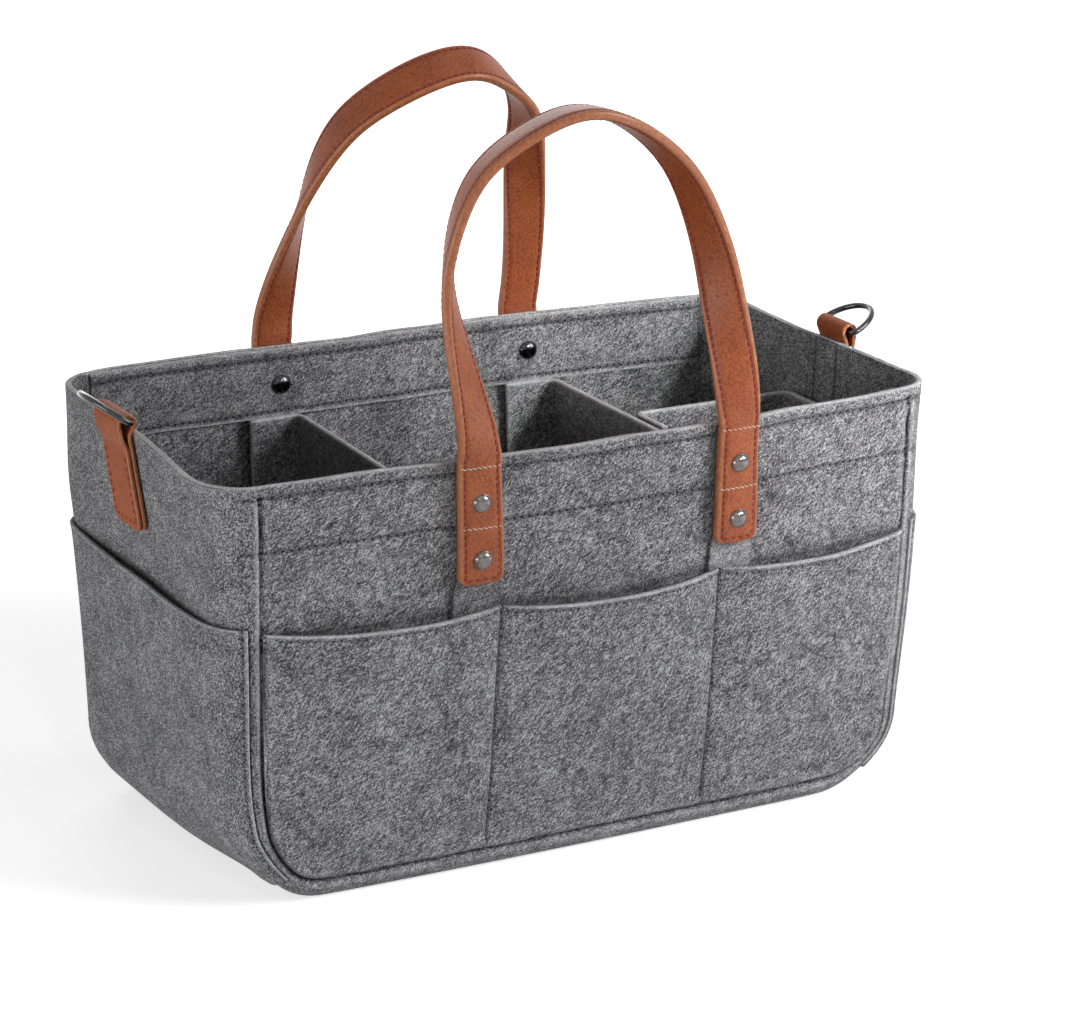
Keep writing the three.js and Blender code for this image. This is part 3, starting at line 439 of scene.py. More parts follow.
def needledFelt(name, look):  # melange fibres lying every way: salt-and-pepper streaks with no shine
    material, tree = newMaterial(name)
    place = addNode(tree, "ShaderNodeTexCoord").outputs["Object"]
    long, thin = perMetre(look["fibreLength"]), perMetre(look["fibreWidth"])
    sizes = [perMetre(look[key]) for key in ("speck", "blotch", "cloud")]
    layers = [(place, size, weight) for size, weight in zip(sizes, look["weights"])]
    stretches = ((long, thin, thin), (thin, thin, long), (thin, long, thin))
    for stretch, spin in zip(stretches, look["fibreTurns"]):
        turned = addNode(tree, "ShaderNodeVectorRotate", {"rotation_type": "AXIS_ANGLE"},
                         {"Vector": place, "Axis": (0.3, 1, 0.2), "Angle": spin}).outputs["Vector"]
        scaled = addNode(tree, "ShaderNodeVectorMath", {"operation": "MULTIPLY"},
                         {0: turned, 1: stretch}).outputs[0]
        layers.append((scaled, 1.0, look["fibreWeight"]))
    height, middle = None, 0.0
    for vector, scale, weight in layers:
        noise = addNode(tree, "ShaderNodeTexNoise", None,
                        {"Vector": vector, "Scale": scale, "Detail": 2.0, "Roughness": 0.7}).outputs["Fac"]
        weight *= look["contrast"]
        middle += weight / 2
        height = addNode(tree, "ShaderNodeMath", {"operation": "MULTIPLY_ADD"},
                         {0: noise, 1: weight, 2: 0.0 if height is None else height}).outputs[0]
    level = addNode(tree, "ShaderNodeMath", {"operation": "ADD"}, {0: height, 1: 0.5 - middle}).outputs[0]
    tint = setRamp(addNode(tree, "ShaderNodeValToRGB", None, {"Fac": level}),
                   [(0.1, look["dark"]), (0.5, look["middle"]), (0.9, look["pale"])])
    # painted shading from the mesh: a dark tint multiplied in for painted shade, a pale tint screened in for
    # painted highlight
    crease = addNode(tree, "ShaderNodeAttribute", {"attribute_name": "crease"}).outputs["Fac"]
    for shade, blend, shadeTint in ((look["creaseShade"], "MULTIPLY", "creaseTint"),
                                    (-look["ridgeShade"], "SCREEN", "ridgeTint")):
        share = addNode(tree, "ShaderNodeMath", {"operation": "MULTIPLY", "use_clamp": True},
                        {0: crease, 1: shade}).outputs[0]
        tint = addNode(tree, "ShaderNodeMixRGB", {"blend_type": blend},
                       {"Fac": share, "Color1": tint, "Color2": colour(look[shadeTint])}).outputs[0]
    relief = addNode(tree, "ShaderNodeBump", None, {
        "Height": level, "Strength": look["bump"],
        "Distance": look["bumpDepth"] * metresPerMm}).outputs["Normal"]
    shader = addNode(tree, "ShaderNodeBsdfPrincipled", None, {
        "Base Color": tint, "Roughness": look["roughness"], "Normal": relief, "Specular IOR Level": 0.2,
        "Sheen Weight": look["sheen"], "Sheen Roughness": 0.6})
    addNode(tree, "ShaderNodeOutputMaterial", None, {"Surface": shader.outputs[0]})
    return material


leatherLook = {  # coated split leather, dyed saddle tan; sizes in millimetres
    "deep": "#783a20", "middle": "#964e2a", "pale": "#a96039", "pebble": 1.05, "pebbleShade": -0.42,
    "cloud": 14, "cloudShade": 0.5, "level": 0.3,
    "roughness": 0.42, "bump": 0.6, "bumpDepth": 0.2, "specular": 0.32,
}


def coatedLeather(name, look):  # fine embossed pebble under a satin coat: soft broad highlights
    material, tree = newMaterial(name)
    place = addNode(tree, "ShaderNodeTexCoord").outputs["Object"]
    pebble = addNode(tree, "ShaderNodeTexVoronoi", {"feature": "SMOOTH_F1"},
                     {"Vector": place, "Scale": perMetre(look["pebble"]),
                      "Smoothness": 0.4}).outputs["Distance"]
    cloud = addNode(tree, "ShaderNodeTexNoise", None,
                    {"Vector": place, "Scale": perMetre(look["cloud"]), "Detail": 5.0,
                     "Roughness": 0.65}).outputs["Fac"]
    cloud = addNode(tree, "ShaderNodeMath", {"operation": "MULTIPLY_ADD"},
                    {0: cloud, 1: look["cloudShade"], 2: look["level"]}).outputs[0]
    shade = addNode(tree, "ShaderNodeMath", {"operation": "MULTIPLY_ADD"},
                    {0: pebble, 1: look["pebbleShade"], 2: cloud}).outputs[0]
    tint = setRamp(addNode(tree, "ShaderNodeValToRGB", None, {"Fac": shade}),
                   [(0.15, look["deep"]), (0.38, look["middle"]), (0.62, look["pale"])])
    relief = addNode(tree, "ShaderNodeBump", {"invert": True}, {
        "Height": pebble, "Strength": look["bump"],
        "Distance": look["bumpDepth"] * metresPerMm}).outputs["Normal"]
    shader = addNode(tree, "ShaderNodeBsdfPrincipled", None, {
        "Base Color": tint, "Roughness": look["roughness"], "Normal": relief, "IOR": 1.5,
        "Specular IOR Level": look["specular"]})
    addNode(tree, "ShaderNodeOutputMaterial", None, {"Surface": shader.outputs[0]})
    return material


def plainFinish(name, look):  # one finish with fine unevenness, for paint, thread, nylon and plated metal
    material, tree = newMaterial(name)
    place = addNode(tree, "ShaderNodeTexCoord").outputs["Object"]
    grain = addNode(tree, "ShaderNodeTexNoise", None,
                    {"Vector": place, "Scale": perMetre(look["grain"]), "Detail": 3.0}).outputs["Fac"]
    tint = setRamp(addNode(tree, "ShaderNodeValToRGB", None, {"Fac": grain}),
                   [(0.3, look["deep"]), (0.7, look["pale"])])
    relief = addNode(tree, "ShaderNodeBump", None, {
        "Height": grain, "Strength": look["bump"],
        "Distance": look["grain"] * 0.2 * metresPerMm}).outputs["Normal"]
    shader = addNode(tree, "ShaderNodeBsdfPrincipled", None, {
        "Base Color": tint, "Roughness": look["roughness"], "Metallic": look["metallic"], "Normal": relief,
        "Coat Weight": look.get("coat", 0.0), "Coat Roughness": 0.06})
    addNode(tree, "ShaderNodeOutputMaterial", None, {"Surface": shader.outputs[0]})
    return material


wallFelt = needledFelt("greyMelangeNeedledFelt", feltLook)
# painted light: the same felt a little paler, standing in for more light on the rim facings and the strap
# backings
facingFelt = needledFelt("thinMelangeNeedledFelt", {
    **feltLook, "middle": "#727274", "speck": 0.7, "cloud": 26})
# cut with a blade; painted highlight: a paler copy of the felt on every cut edge, standing in for the light
# its loose fibre ends catch
cutFelt = needledFelt("fluffedCutFeltEdge", {
    **feltLook, "dark": "#58585a", "middle": "#969698", "pale": "#d0d0d2"})
felts = [wallFelt, cutFelt]
strapLeather = coatedLeather("saddleTanCoatedLeather", leatherLook)
tabLeather = coatedLeather("rubbedSaddleTanLeather", {  # handled most, so its coat is rubbed matt
    **leatherLook, "specular": 0.12, "roughness": 0.55})
edgePaint = plainFinish("rolledOnEdgePaint", {  # thick paint on cut leather: smoother and paler than the face
    "deep": "#8a4a2b", "pale": "#ac6a40", "grain": 1.2, "bump": 0.3, "roughness": 0.4, "metallic": 0})
redThread = plainFinish("oxbloodBondedThread", {  # waxed polyester: dark red with a dull gleam
    "deep": "#5c1206", "pale": "#862413", "grain": 0.4, "bump": 0.4, "roughness": 0.6, "metallic": 0})
creamThread = plainFinish("creamSpunThread", {  # spun polyester: pale and matt
    "deep": "#ab978a", "pale": "#d8c8bc", "grain": 0.4, "bump": 0.4, "roughness": 0.8, "metallic": 0})
greyThread = plainFinish("greySpunThread", {
    "deep": "#4c4c4e", "pale": "#767679", "grain": 0.4, "bump": 0.4, "roughness": 0.85, "metallic": 0})
needleHoleShade = plainFinish("darkNeedlePit", {  # the needle pushes the felt in; painted shade: a near-black disc standing in for the shadow down in each needle hole
    "deep": "#0c0c0d", "pale": "#1c1c1e", "grain": 0.5, "bump": 0.2, "roughness": 1.0, "metallic": 0})
rivetNickel = plainFinish("dullNickelPlate", {  # pressed caps, nickel plated and tumbled: soft grey mirror
    "deep": "#524c4a", "pale": "#736e6c", "grain": 2.5, "bump": 0.05, "roughness": 0.17,
    "metallic": 1, "coat": 0.5})
blackNickel = plainFinish("blackNickelPlate", {  # black plating under lacquer: dark with sharp white glints
    "deep": "#161618", "pale": "#232326", "grain": 3, "bump": 0.03, "roughness": 0.2,
    "metallic": 1, "coat": 1.0})
hookNylon = plainFinish("blackHookNylon", {  # moulded hooks: a matt dark pile
    "deep": "#101012", "pale": "#303034", "grain": 1.1, "bump": 1.0, "roughness": 0.9, "metallic": 0})
print("materials made:", len(bpy.data.materials))


# Ring tabs: the values that the end walls need too

tab = {"width": 21, "drop": 41, "layer": 1.8, "slit": 0.3, "inset": 2.4, "footRadius": 4,
       "eyeRise": 4, "leanStart": 5, "welt": 0.2, "seamShade": (0.95, 0.8)}
ringShape = {"wire": 1.36, "reach": 17, "cornerRadius": 2.2, "wireSides": 18}
ends = {  # each end's tab and ring: how wide, how far along the end wall, how it leans and hangs
    "left": {"end": -1, "width": 24.5, "drop": 38.2, "shift": 12.6, "out": 0.5, "sink": 0.6, "lean": -12.6,
             "tilt": 36, "eye": 4.3, "ringGap": 1.5, "ringShift": -0.3},
    "right": {"end": 1, "width": 21, "drop": 41, "shift": -3.2, "out": 0, "sink": 0, "lean": 0,
              "tilt": 25, "eye": 3.9, "ringGap": 1.2, "ringShift": 0},
}
tabThread = {"pitch": 3.3, "length": 2.2, "radius": 0.36, "slant": 0.1}
tabDepth = 2 * tab["layer"] + tab["slit"]
eyeZ = rimZ + tab["eyeRise"]
tabSetback = halfLength(rimZ) + caddy["seat"]


def tabLean(place, z):  # how far the tab has gone sideways at this height; straight beside the ring
    below = np.maximum(eyeZ - tab["leanStart"] - z, 0)
    return place["lean"] * below / (tab["drop"] + tab["eyeRise"] - tab["leanStart"])


def tabLineGap(place, hand, y, z):  # how far from a tab's seam, and whether the seam reaches this height
    line = place["shift"] + hand * (place["width"] / 2 - tab["inset"]) + tabLean(place, z)
    foot = rimZ - place["drop"]
    return np.abs(y - line), smooth(foot + 1, foot + 4, z)


# Gusset: end walls and base in one strip

gussetShape = {
    "wallStep": 4.5, "cornerRows": 18, "baseRows": 12, "flatColumns": 34, "lipReach": 12,
    "ridge": (0.35, 0.8), "seamShares": (0.413, 0.537), "besideSeam": (-0.013, -0.007, 0, 0.007, 0.013),
    "curlTurns": (1, 0.984, 0.967, 0.948, 0.925, 0.9, 0.87, 0.83, 0.8, 0.78, 0.765, 0.75, 0.73, 0.7,
                  0.62, 0.5, 0.4, 0.3, 0.2, 0.1, 0)}
endPocketShape = {
    "thickness": 2.0, "edgeThickness": 1.15, "edgeReach": 38, "top": 121, "curlShare": 0.75, "lastPlace": 1.6,
    "opening": {-1: 2.8, 1: 2.0}, "edgeDip": 0.45, "edgeStitchInset": 2.6, "mouthRoll": 0.3,
    "edgeShade": (0.95, 0.6), "mouthShades": ((0.8, 1.2), (0.12, 6)),
    "curlTurns": (1, 0.97, 0.94, 0.91, 0.88, 0.85, 0.81, 0.75, 0.66, 0.55, 0.42, 0.28, 0.14, 0)}


def makeGusset(shape):
    zs = spacing(cornerZ, rimZ, shape["wallStep"],
                 [caddy["rimStitchZ"], caddy["facingStitchZ"], endPocketShape["top"]])
    wallPlaces = (rimZ - zs[::-1]) / (rimZ - cornerZ)
    cornerPlaces = 1 + np.linspace(0, 1, shape["cornerRows"] + 1)[1:]
    basePlaces = 2 + np.linspace(0, 1, shape["baseRows"] + 1)[1:]
    halfPlaces = np.concatenate([wallPlaces, cornerPlaces, basePlaces])
    places = np.concatenate([halfPlaces, halfPlaces[-2::-1]])
    turned = np.concatenate([-np.ones(len(halfPlaces)), np.ones(len(halfPlaces) - 1)])
    flats = spacing(0, 1, 1 / shape["flatColumns"], shape["seamShares"], shape["besideSeam"], 0.005)[1:-1]
    grid, seamGap = stripGrid(turned, places, np.array(shape["curlTurns"], float), flats)
    normals = gridNormals(grid, (0, 0, rimZ))
    z = grid[..., 2]
    seam = seamRelief(seamGap, z, caddy["gussetBead"])
    nearSeam = 1 - smooth(shape["lipReach"] - 2, shape["lipReach"] + 2, seamGap)
    outer = grid - normals * (seam + stitchRelief(z) * nearSeam)[..., None]
    inner = grid - normals * (caddy["wallFelt"] + caddy["seamInside"] * seam)[..., None]
    crease = paintedShadingAt(seamGap, z, nearSeam, mix(*shape["ridge"], smooth(15, 40, z)))
    pocketEdge = (1 - endPocketShape["curlShare"]) * math.pi / 2 * curlRadius(places)[:, None]
    covered = (z < endPocketShape["top"]) & (places[:, None] < endPocketShape["lastPlace"])
    strength, width = endPocketShape["edgeShade"]
    beside = strength * hump(seamGap - pocketEdge + 0.4, width) * covered
    crease = np.where(beside > 0.2, np.maximum(crease, beside), crease)
    above = z - endPocketShape["top"]
    shaded = mouthShade(above, endPocketShape["mouthShades"]) * (above > -3) * (seamGap > pocketEdge)
    crease = np.where(shaded > 0.1, np.maximum(crease, shaded), crease)
    inside = 0.5 * crease
    strength, width = tab["seamShade"]
    for place in ends.values():
        atEnd = grid[..., 0] * place["end"] > 0
        for hand in (-1, 1):
            gap, reach = tabLineGap(place, hand, grid[..., 1], z)
            inside = np.maximum(inside, strength * hump(gap, width) * reach * atEnd)
        middle, reach = tabLineGap(place, 0, grid[..., 1], z)
        welt = smooth(tab["width"] / 2, tab["width"] / 2 - 2, middle) * reach * atEnd
        inner = inner - normals * (tab["welt"] * welt)[..., None]
    return sheetPiece("gussetFelt", outer, inner, felts, crease, inside=inside)


gusset = makeGusset(gussetShape)
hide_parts("gusset")
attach(gusset, "body")

# Long walls: panel, rim facing, three-part pocket

wallShape = {"step": 5, "cornerRows": 16, "columns": 62, "tuck": 0.7, "ridge": 0.25,
             "edgeOffsets": (0.6, 1.2, 1.8, 2.5, 3.4, 4.6, 6.2, 8.4)}
facingShape = {"thickness": 2.2, "bottom": 150, "endMargin": 2, "rimMargin": 0.6, "roundness": 0.3,
               "pressedEnd": 0.4, "pressedReach": 6, "edgeFluff": (0.95, 0.9),
               "endOffsets": (0, 1, 2, 3, 4, 5, 6.5)}
pocketShape = {  # sags, lifts and the sewn lines run from the left pouch to the right one
    "thickness": 2.2, "top": 117, "opening": 5, "settle": 45,
    "sags": (2.6, 3, 1.9), "lifts": ((2.1, 0.2), (0, 0), (0.2, 0.9)),
    "lines": ((-47.6, -49.6), (53.5, 52)),  # each at the mouth and at the base
    "lineDip": 1.0, "lineWidth": 0.85, "lineShade": (0.75, 0.5),
    "puff": 0.8, "puffInside": 0.7, "puffWidth": 6.5, "strapClearance": 1.8, "ridge": 0.2,
    "mouthRoll": (0.5, 1.6), "mouthStitch": 2.2, "mouthDip": (0.35, 0.8), "mouthFluff": (0.5, 0.6),
    "mouthShades": ((0.55, 1.4), (0.16, 7)),
    "columns": 22, "endShares": (0, 0.006, 0.012, 0.019, 0.028, 0.042, 0.065, 0.1, 0.14)}
panelBottom = caddy["seamRise"] + caddy["seat"]


def mouthHeight(x):  # the top of the long pocket above any point of the wall
    borders = [-halfPanel(pocketShape["top"]), pocketShape["lines"][0][0], pocketShape["lines"][1][0],
               halfPanel(pocketShape["top"])]
    height = np.full(np.shape(x), float(pocketShape["top"]))
    for k in range(3):
        share = np.clip((x - borders[k]) / (borders[k + 1] - borders[k]), 0, 1)
        lift = mix(*pocketShape["lifts"][k], share) - pocketShape["sags"][k] * (1 - (2 * share - 1) ** 2)
        height += lift * ((x >= borders[k]) & (x < borders[k + 1]))
    return height


def outlineRows(top, lines, shape):
    turns = 2 - np.linspace(0, 1, shape["cornerRows"] + 1)
    lowX, lowZ = profile(turns, halfPanel, panelBottom)
    zs = spacing(cornerZ, top, shape["step"], lines)[1:]
    return np.concatenate([lowX, halfPanel(zs)]), np.concatenate([lowZ, zs])


def seamDistance(x, z):  # from a point of the wall to the sewn outline at its sides and bottom
    steps = np.linspace(0, 1, 60)
    edgeX, edgeZ = profile(np.concatenate([steps, 1 + steps[1:]]), halfPanel, panelBottom)
    edgeX = np.concatenate([edgeX, np.linspace(cornerX, 0, 60)])
    edgeZ = np.concatenate([edgeZ, np.full(60, panelBottom)])
    return np.hypot(np.abs(x)[..., None] - edgeX, z[..., None] - edgeZ).min(-1)


def makePanel(side, name):
    rows = [caddy["rimStitchZ"], caddy["facingStitchZ"], pocketShape["top"]]
    halves, zs = outlineRows(rimZ, rows, wallShape)
    inset = np.array(wallShape["edgeOffsets"]) / (2 * halfPanel(rimZ))
    middle = np.linspace(inset[-1], 1 - inset[-1], wallShape["columns"])
    shares = np.concatenate([[0], inset[:-1], middle, 1 - inset[:-1][::-1], [1]])
    # the edge runs on under the gusset's, so that no light comes through the seam
    tucked = (halves + wallShape["tuck"] * belowLip(zs))[:, None]
    x = mix(-tucked, tucked, shares)
    z = np.broadcast_to(zs[:, None], x.shape)
    gap = seamDistance(np.clip(x, -halves[:, None], halves[:, None]), z)
    seam = seamRelief(gap, z, caddy["panelBead"])
    outer = wallSurface(side, x, z, -seam - stitchRelief(z))
    inner = wallSurface(side, x, z, -caddy["seamInside"] * seam - caddy["wallFelt"])
    above = z - mouthHeight(x)
    shaded = np.where(above > -2, mouthShade(above, pocketShape["mouthShades"]), 0.5)
    crease = paintedShadingAt(gap, z, 1.0, wallShape["ridge"])
    return sheetPiece(name, outer, inner, felts, np.where(above < 20, np.maximum(crease, shaded), crease))


def makeFacing(side, name):
    thickness = facingShape["thickness"]
    reach = halfSeam(rimZ) - facingShape["endMargin"]
    zs = spacing(facingShape["bottom"], rimZ - facingShape["rimMargin"], 4,
                 [caddy["rimStitchZ"], caddy["facingStitchZ"]], margin=1.2)
    near = np.array(facingShape["endOffsets"]) / (2 * reach)
    shares = np.concatenate([near, np.linspace(0.03, 0.97, 60), 1 - near[::-1]])
    x, z = np.meshgrid(mix(-reach, reach, shares), zs)
    back = caddy["wallFelt"] + caddy["seat"]
    pressed = smooth(0, facingShape["pressedReach"], reach - np.abs(x))
    thick = thickness * mix(facingShape["pressedEnd"], 1, pressed)
    seen = wallSurface(side, x, z, -back - thick + stitchRelief(z) * thick / thickness)
    # painted highlight along the facing's bottom edge
    strength, width = facingShape["edgeFluff"]
    crease = paintedShadingAt(farAway + 0 * z, z) - strength * hump(z - facingShape["bottom"], width)
    hidden = wallSurface(side, x, z, -back)
    return sheetPiece(name, seen, hidden, [facingFelt, cutFelt], crease, facingShape["roundness"])


def pocketGrid(side, halves, zs):
    up = (zs - panelBottom) / (pocketShape["top"] - panelBottom)
    lines = [mix(bottom, top, up) for top, bottom in pocketShape["lines"]]
    borders = [-halves, *lines, halves]
    near = np.array(pocketShape["endShares"])
    shares = np.concatenate([near, np.linspace(0.18, 0.82, pocketShape["columns"]), 1 - near[::-1]])
    onStraps = smooth(panelBottom, pocketShape["settle"], zs)[:, None]
    sewn = smooth(panelBottom - 1, panelBottom + 6, zs)[:, None]
    blocks = []
    for k in range(3):
        share = shares if k == 0 else shares[1:]
        x = mix(borders[k][:, None], borders[k + 1][:, None], share)
        z = np.broadcast_to(zs[:, None], x.shape)
        arch = 1 - (2 * share - 1) ** 2
        offSeam = smooth(0, 1, share if k == 0 else 1 - share) if k != 1 else np.ones(len(share))
        clear = mix(caddy["seat"], pocketShape["strapClearance"], onStraps * offSeam)
        under = clear + pocketShape["opening"] * arch * up[:, None]
        lineGap = np.minimum(*[np.abs(x - line[:, None]) for line in lines])
        gap = seamDistance(x, z)
        seam = seamRelief(gap, z, caddy["panelBead"])
        line = hump(lineGap, pocketShape["lineWidth"]) * sewn
        free = (1 - hump(lineGap, pocketShape["puffWidth"])) * (1 - hump(gap, pocketShape["puffWidth"]))
        puff = pocketShape["puff"] * free * sewn
        fromMouth = pocketShape["top"] - z
        (roll, rollWidth), (dip, dipWidth) = pocketShape["mouthRoll"], pocketShape["mouthDip"]
        mouth = roll * hump(fromMouth, rollWidth)
        mouth = mouth - dip * hump(fromMouth - pocketShape["mouthStitch"], dipWidth)
        over = under + pocketShape["thickness"] + puff - pocketShape["lineDip"] * line + mouth - seam
        under = under + pocketShape["puffInside"] * puff - caddy["seamInside"] * seam
        lift = mix(*pocketShape["lifts"][k], share) - pocketShape["sags"][k] * arch
        z = z + lift * (up ** 2)[:, None]
        # painted highlight along the pocket's mouth, where there is no painted shade
        (shade, shadeWidth), (paintedHighlight, highlightWidth) = pocketShape["lineShade"], pocketShape["mouthFluff"]
        crease = shade * hump(lineGap, shadeWidth) * sewn + paintedShadingAt(gap, 0 * z, 1.0, pocketShape["ridge"])
        crease = np.clip(crease, -1, 1)
        crease = crease - paintedHighlight * hump(fromMouth, highlightWidth) * (crease <= 0)
        blocks.append((wallSurface(side, x, z, over), wallSurface(side, x, z, under), crease))
    return [np.concatenate(parts, axis=1) for parts in zip(*blocks)]


def makePocket(side, name):
    halves, zs = outlineRows(pocketShape["top"], [pocketShape["top"] - pocketShape["mouthStitch"]], wallShape)
    outer, inner, crease = pocketGrid(side, halves, zs)
    return sheetPiece(name, outer, inner, felts, crease)


for prefix, side in (("front", -1), ("back", 1)):
    panel = makePanel(side, prefix + "PanelFelt")
    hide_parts(prefix + "_panel")
    facing = makeFacing(side, prefix + "RimFacingFelt")
    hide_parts(prefix + "_rim_facing")
    pocket = makePocket(side, prefix + "PocketFelt")
    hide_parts(prefix + "_pocket_panel")
    for piece, slotName in ((panel, "wall_felt"), (facing, "facing_felt"), (pocket, "wall_felt")):
        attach(piece, "body")
print("walls and long pockets made")

# End pockets, wrapped round the corners


def endPocketGrid(end):
    shape = endPocketShape
    top = (rimZ - shape["top"]) / (rimZ - cornerZ)
    wallRows = np.concatenate([top + np.array([0, 0.004, 0.01, 0.018, 0.03]), np.linspace(top + 0.05, 1, 18)])
    places = np.concatenate([wallRows, np.linspace(1, shape["lastPlace"], 13)[1:]])
    turns = shape["curlShare"] * np.array(shape["curlTurns"])
    grid, seamGap = stripGrid(np.full(len(places), end), places, turns, np.linspace(0, 1, 27)[1:-1])
    normals = gridNormals(grid, (0, 0, rimZ))
    arch = np.clip(1 - (grid[..., 1] / np.abs(grid[:, :1, 1])) ** 2, 0, 1) ** 2
    up = np.maximum((1 - places) / (1 - top), 0)[:, None]
    edgeGap = np.minimum(seamGap - seamGap[:, :1], 60)
    fromMouth = (places[:, None] - top) * (rimZ - cornerZ)
    free = smooth(0, shape["edgeReach"], edgeGap)
    dip = shape["edgeDip"] * hump(edgeGap - shape["edgeStitchInset"], 0.9)
    away = mix(0.05, caddy["seat"], free) + shape["opening"][end] * arch * up
    roll = shape["mouthRoll"] * hump(fromMouth, 1.8)
    over = away + mix(shape["edgeThickness"], shape["thickness"], free) - dip + roll
    # painted highlight along the pocket's front edge and along its mouth
    paintedHighlight = np.clip(hump(edgeGap, 1.1) + 0.3 * hump(fromMouth, 0.7), 0, 1)
    return grid, normals, away, over, -0.9 * paintedHighlight


def makeEndPocket(end, name):
    grid, normals, away, over, crease = endPocketGrid(end)
    return sheetPiece(name, grid + normals * over[..., None], grid + normals * away[..., None], felts, crease)


for prefix, end in (("left", -1), ("right", 1)):
    pocket = makeEndPocket(end, prefix + "EndPocketFelt")
    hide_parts(prefix + "_end_pocket")
    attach(pocket, "body")
print("end pockets made")

# Straps: one band of leather for each handle, from foot to foot over the loop

strap = {"width": 18.6, "thickness": 3.8, "drop": 51.7, "footRadius": 4, "inner": 1.8, "edgeRadius": 1.3,
         "bendRise": 2.4, "straightLeg": 12, "stitchInset": 2.3, "crown": 0.45,
         "grooveDepth": 0.45, "grooveWidth": 0.55,
         "footGap": 2.4, "footFlare": 0.6, "ease": 6, "loopRings": 150, "bendHalf": 4,
         "footRows": (0, 0.35, 1, 2, 3.1, 4.2, 6, 9, 13, 17, 22, 27, 32, 37, 42, 47)}
handles = {  # knots are (rise, half span, lean) of each leg; a lean is towards the other handle
    "front": {"side": -1, "feet": (-60.1, 58.4), "footLeans": (2.2, 1.3),
              "left": ((72.4, 59.4, 9.2), (110.4, 41.7, 6.2)),
              "right": ((69.7, 60.6, 11.2), (110.6, 41.3, 4.5)), "top": (133.3, -3.6), "skew": -17.8,
              "topTilt": -2.4, "twistShares": (0.78, 0.84)},
    "back": {"side": 1, "feet": (-58.5, 62.4), "footLeans": (0, 0),
             "left": ((63.8, 55.4, 9.6), (100, 40.9, 22)),
             "right": ((64.6, 53.5, 3.5), (96.9, 40, 18.7)), "top": (120.7, 38.5), "skew": 14.3,
             "topTilt": 36.6, "twistShares": (1.28, 2.35)},
}


def throughPoints(knots, shares):  # a centripetal curve through the knots
    knots = np.array(knots, float)
    padded = np.concatenate([[2 * knots[0] - knots[1]], knots, [2 * knots[-1] - knots[-2]]])
    found = []
    for share in shares:
        place = share * (len(knots) - 1)
        k = min(int(place), len(knots) - 2)
        t = place - k
        p0, p1, p2, p3 = padded[k:k + 4]
        d0, d1, d2 = (np.linalg.norm(b - a) ** 0.5 for a, b in ((p0, p1), (p1, p2), (p2, p3)))
        m1 = ((p1 - p0) / d0 - (p2 - p0) / (d0 + d1) + (p2 - p1) / d1) * d1
        m2 = ((p2 - p1) / d1 - (p3 - p1) / (d1 + d2) + (p3 - p2) / d2) * d1
        square, cube = 3 * (p2 - p1) - 2 * m1 - m2, 2 * (p1 - p2) + m1 + m2
        found.append(p1 + m1 * t + square * t ** 2 + cube * t ** 3)
    return np.array(found)


def eased(points, reach):  # a path with its kinks smoothed over this reach in millimetres, its ends held
    step = runLength(points)[-1] / (len(points) - 1)
    count = int(3 * reach / step)
    weights = np.exp(-0.5 * (np.arange(-count, count + 1) * step / reach) ** 2)
    before = 2 * points[0] - points[count:0:-1]
    after = 2 * points[-1] - points[-2:-count - 2:-1]
    padded = np.concatenate([before, points, after])
    weights = weights / weights.sum()
    return np.stack([np.convolve(column, weights, "valid") for column in padded.T], -1)


def footCentre(footX, lean, z):  # the strap's middle on the wall, drifting sideways towards its foot
    return footX + lean * smooth(0, strap["drop"], rimZ - z)


def handlePath(shape):
    side, (leftX, rightX) = shape["side"], shape["feet"]
    middleX, halfSpan = (leftX + rightX) / 2, (rightX - leftX) / 2
    layer = strap["inner"] + strap["thickness"] / 2
    axisY = abs(wallSurface(side, rightX, rimZ, layer)[1])
    straight = [(0, halfSpan, 0), (strap["straightLeg"], halfSpan, 0)]
    topRise, topLean = shape["top"]

    def knot(rise, x, lean):
        x = middleX + x + shape["skew"] * rise / topRise
        return (x, side * (axisY - lean), rimZ + strap["bendRise"] + rise)

    knots = [knot(rise, -x, lean) for rise, x, lean in [*straight, *shape["left"]]]
    knots.append(knot(topRise, 0, topLean))
    knots += [knot(rise, x, lean) for rise, x, lean in [*straight, *shape["right"]][::-1]]
    dense = eased(throughPoints(knots, np.linspace(0, 1, 1200)), strap["ease"])
    shares = np.linspace(0, 1, strap["loopRings"])
    loop = alongPath(dense, shares * runLength(dense)[-1])
    climb = np.sin((1 - np.abs(2 * shares - 1)) * math.pi / 2)
    turned = climb ** np.where(shares < 0.5, *shape["twistShares"])
    twist = math.pi / 2 - (math.pi / 2 + math.radians(shape["topTilt"])) * turned
    tangent = unit(np.gradient(loop, axis=0))
    tangent[0], tangent[-1] = (0, 0, 1), (0, 0, -1)
    backward = unit(np.array([0, 1.0, 0]) - tangent * tangent[:, 1:2])
    inward = np.cross(backward, tangent)
    across = backward * np.cos(twist)[:, None] + inward * np.sin(twist)[:, None]
    zs = rimZ - strap["drop"] + np.array([*strap["footRows"], strap["drop"]])
    feet, alongWall = [], []
    for footX, lean in zip(shape["feet"], shape["footLeans"]):
        x = footCentre(footX, lean, zs)
        feet.append(wallSurface(side, x, zs, layer))
        alongWall.append(unit(wallSurface(side, x + 1, zs, layer) - wallSurface(side, x - 1, zs, layer)))
    centres = settle(np.concatenate([feet[0], loop, feet[1][::-1]]))
    across = np.concatenate([alongWall[0], across, -alongWall[1][::-1]])
    tangent = unit(np.gradient(centres, axis=0))
    across = unit(across - tangent * (across * tangent).sum(-1, keepdims=True))
    return centres, across, np.cross(across, tangent)


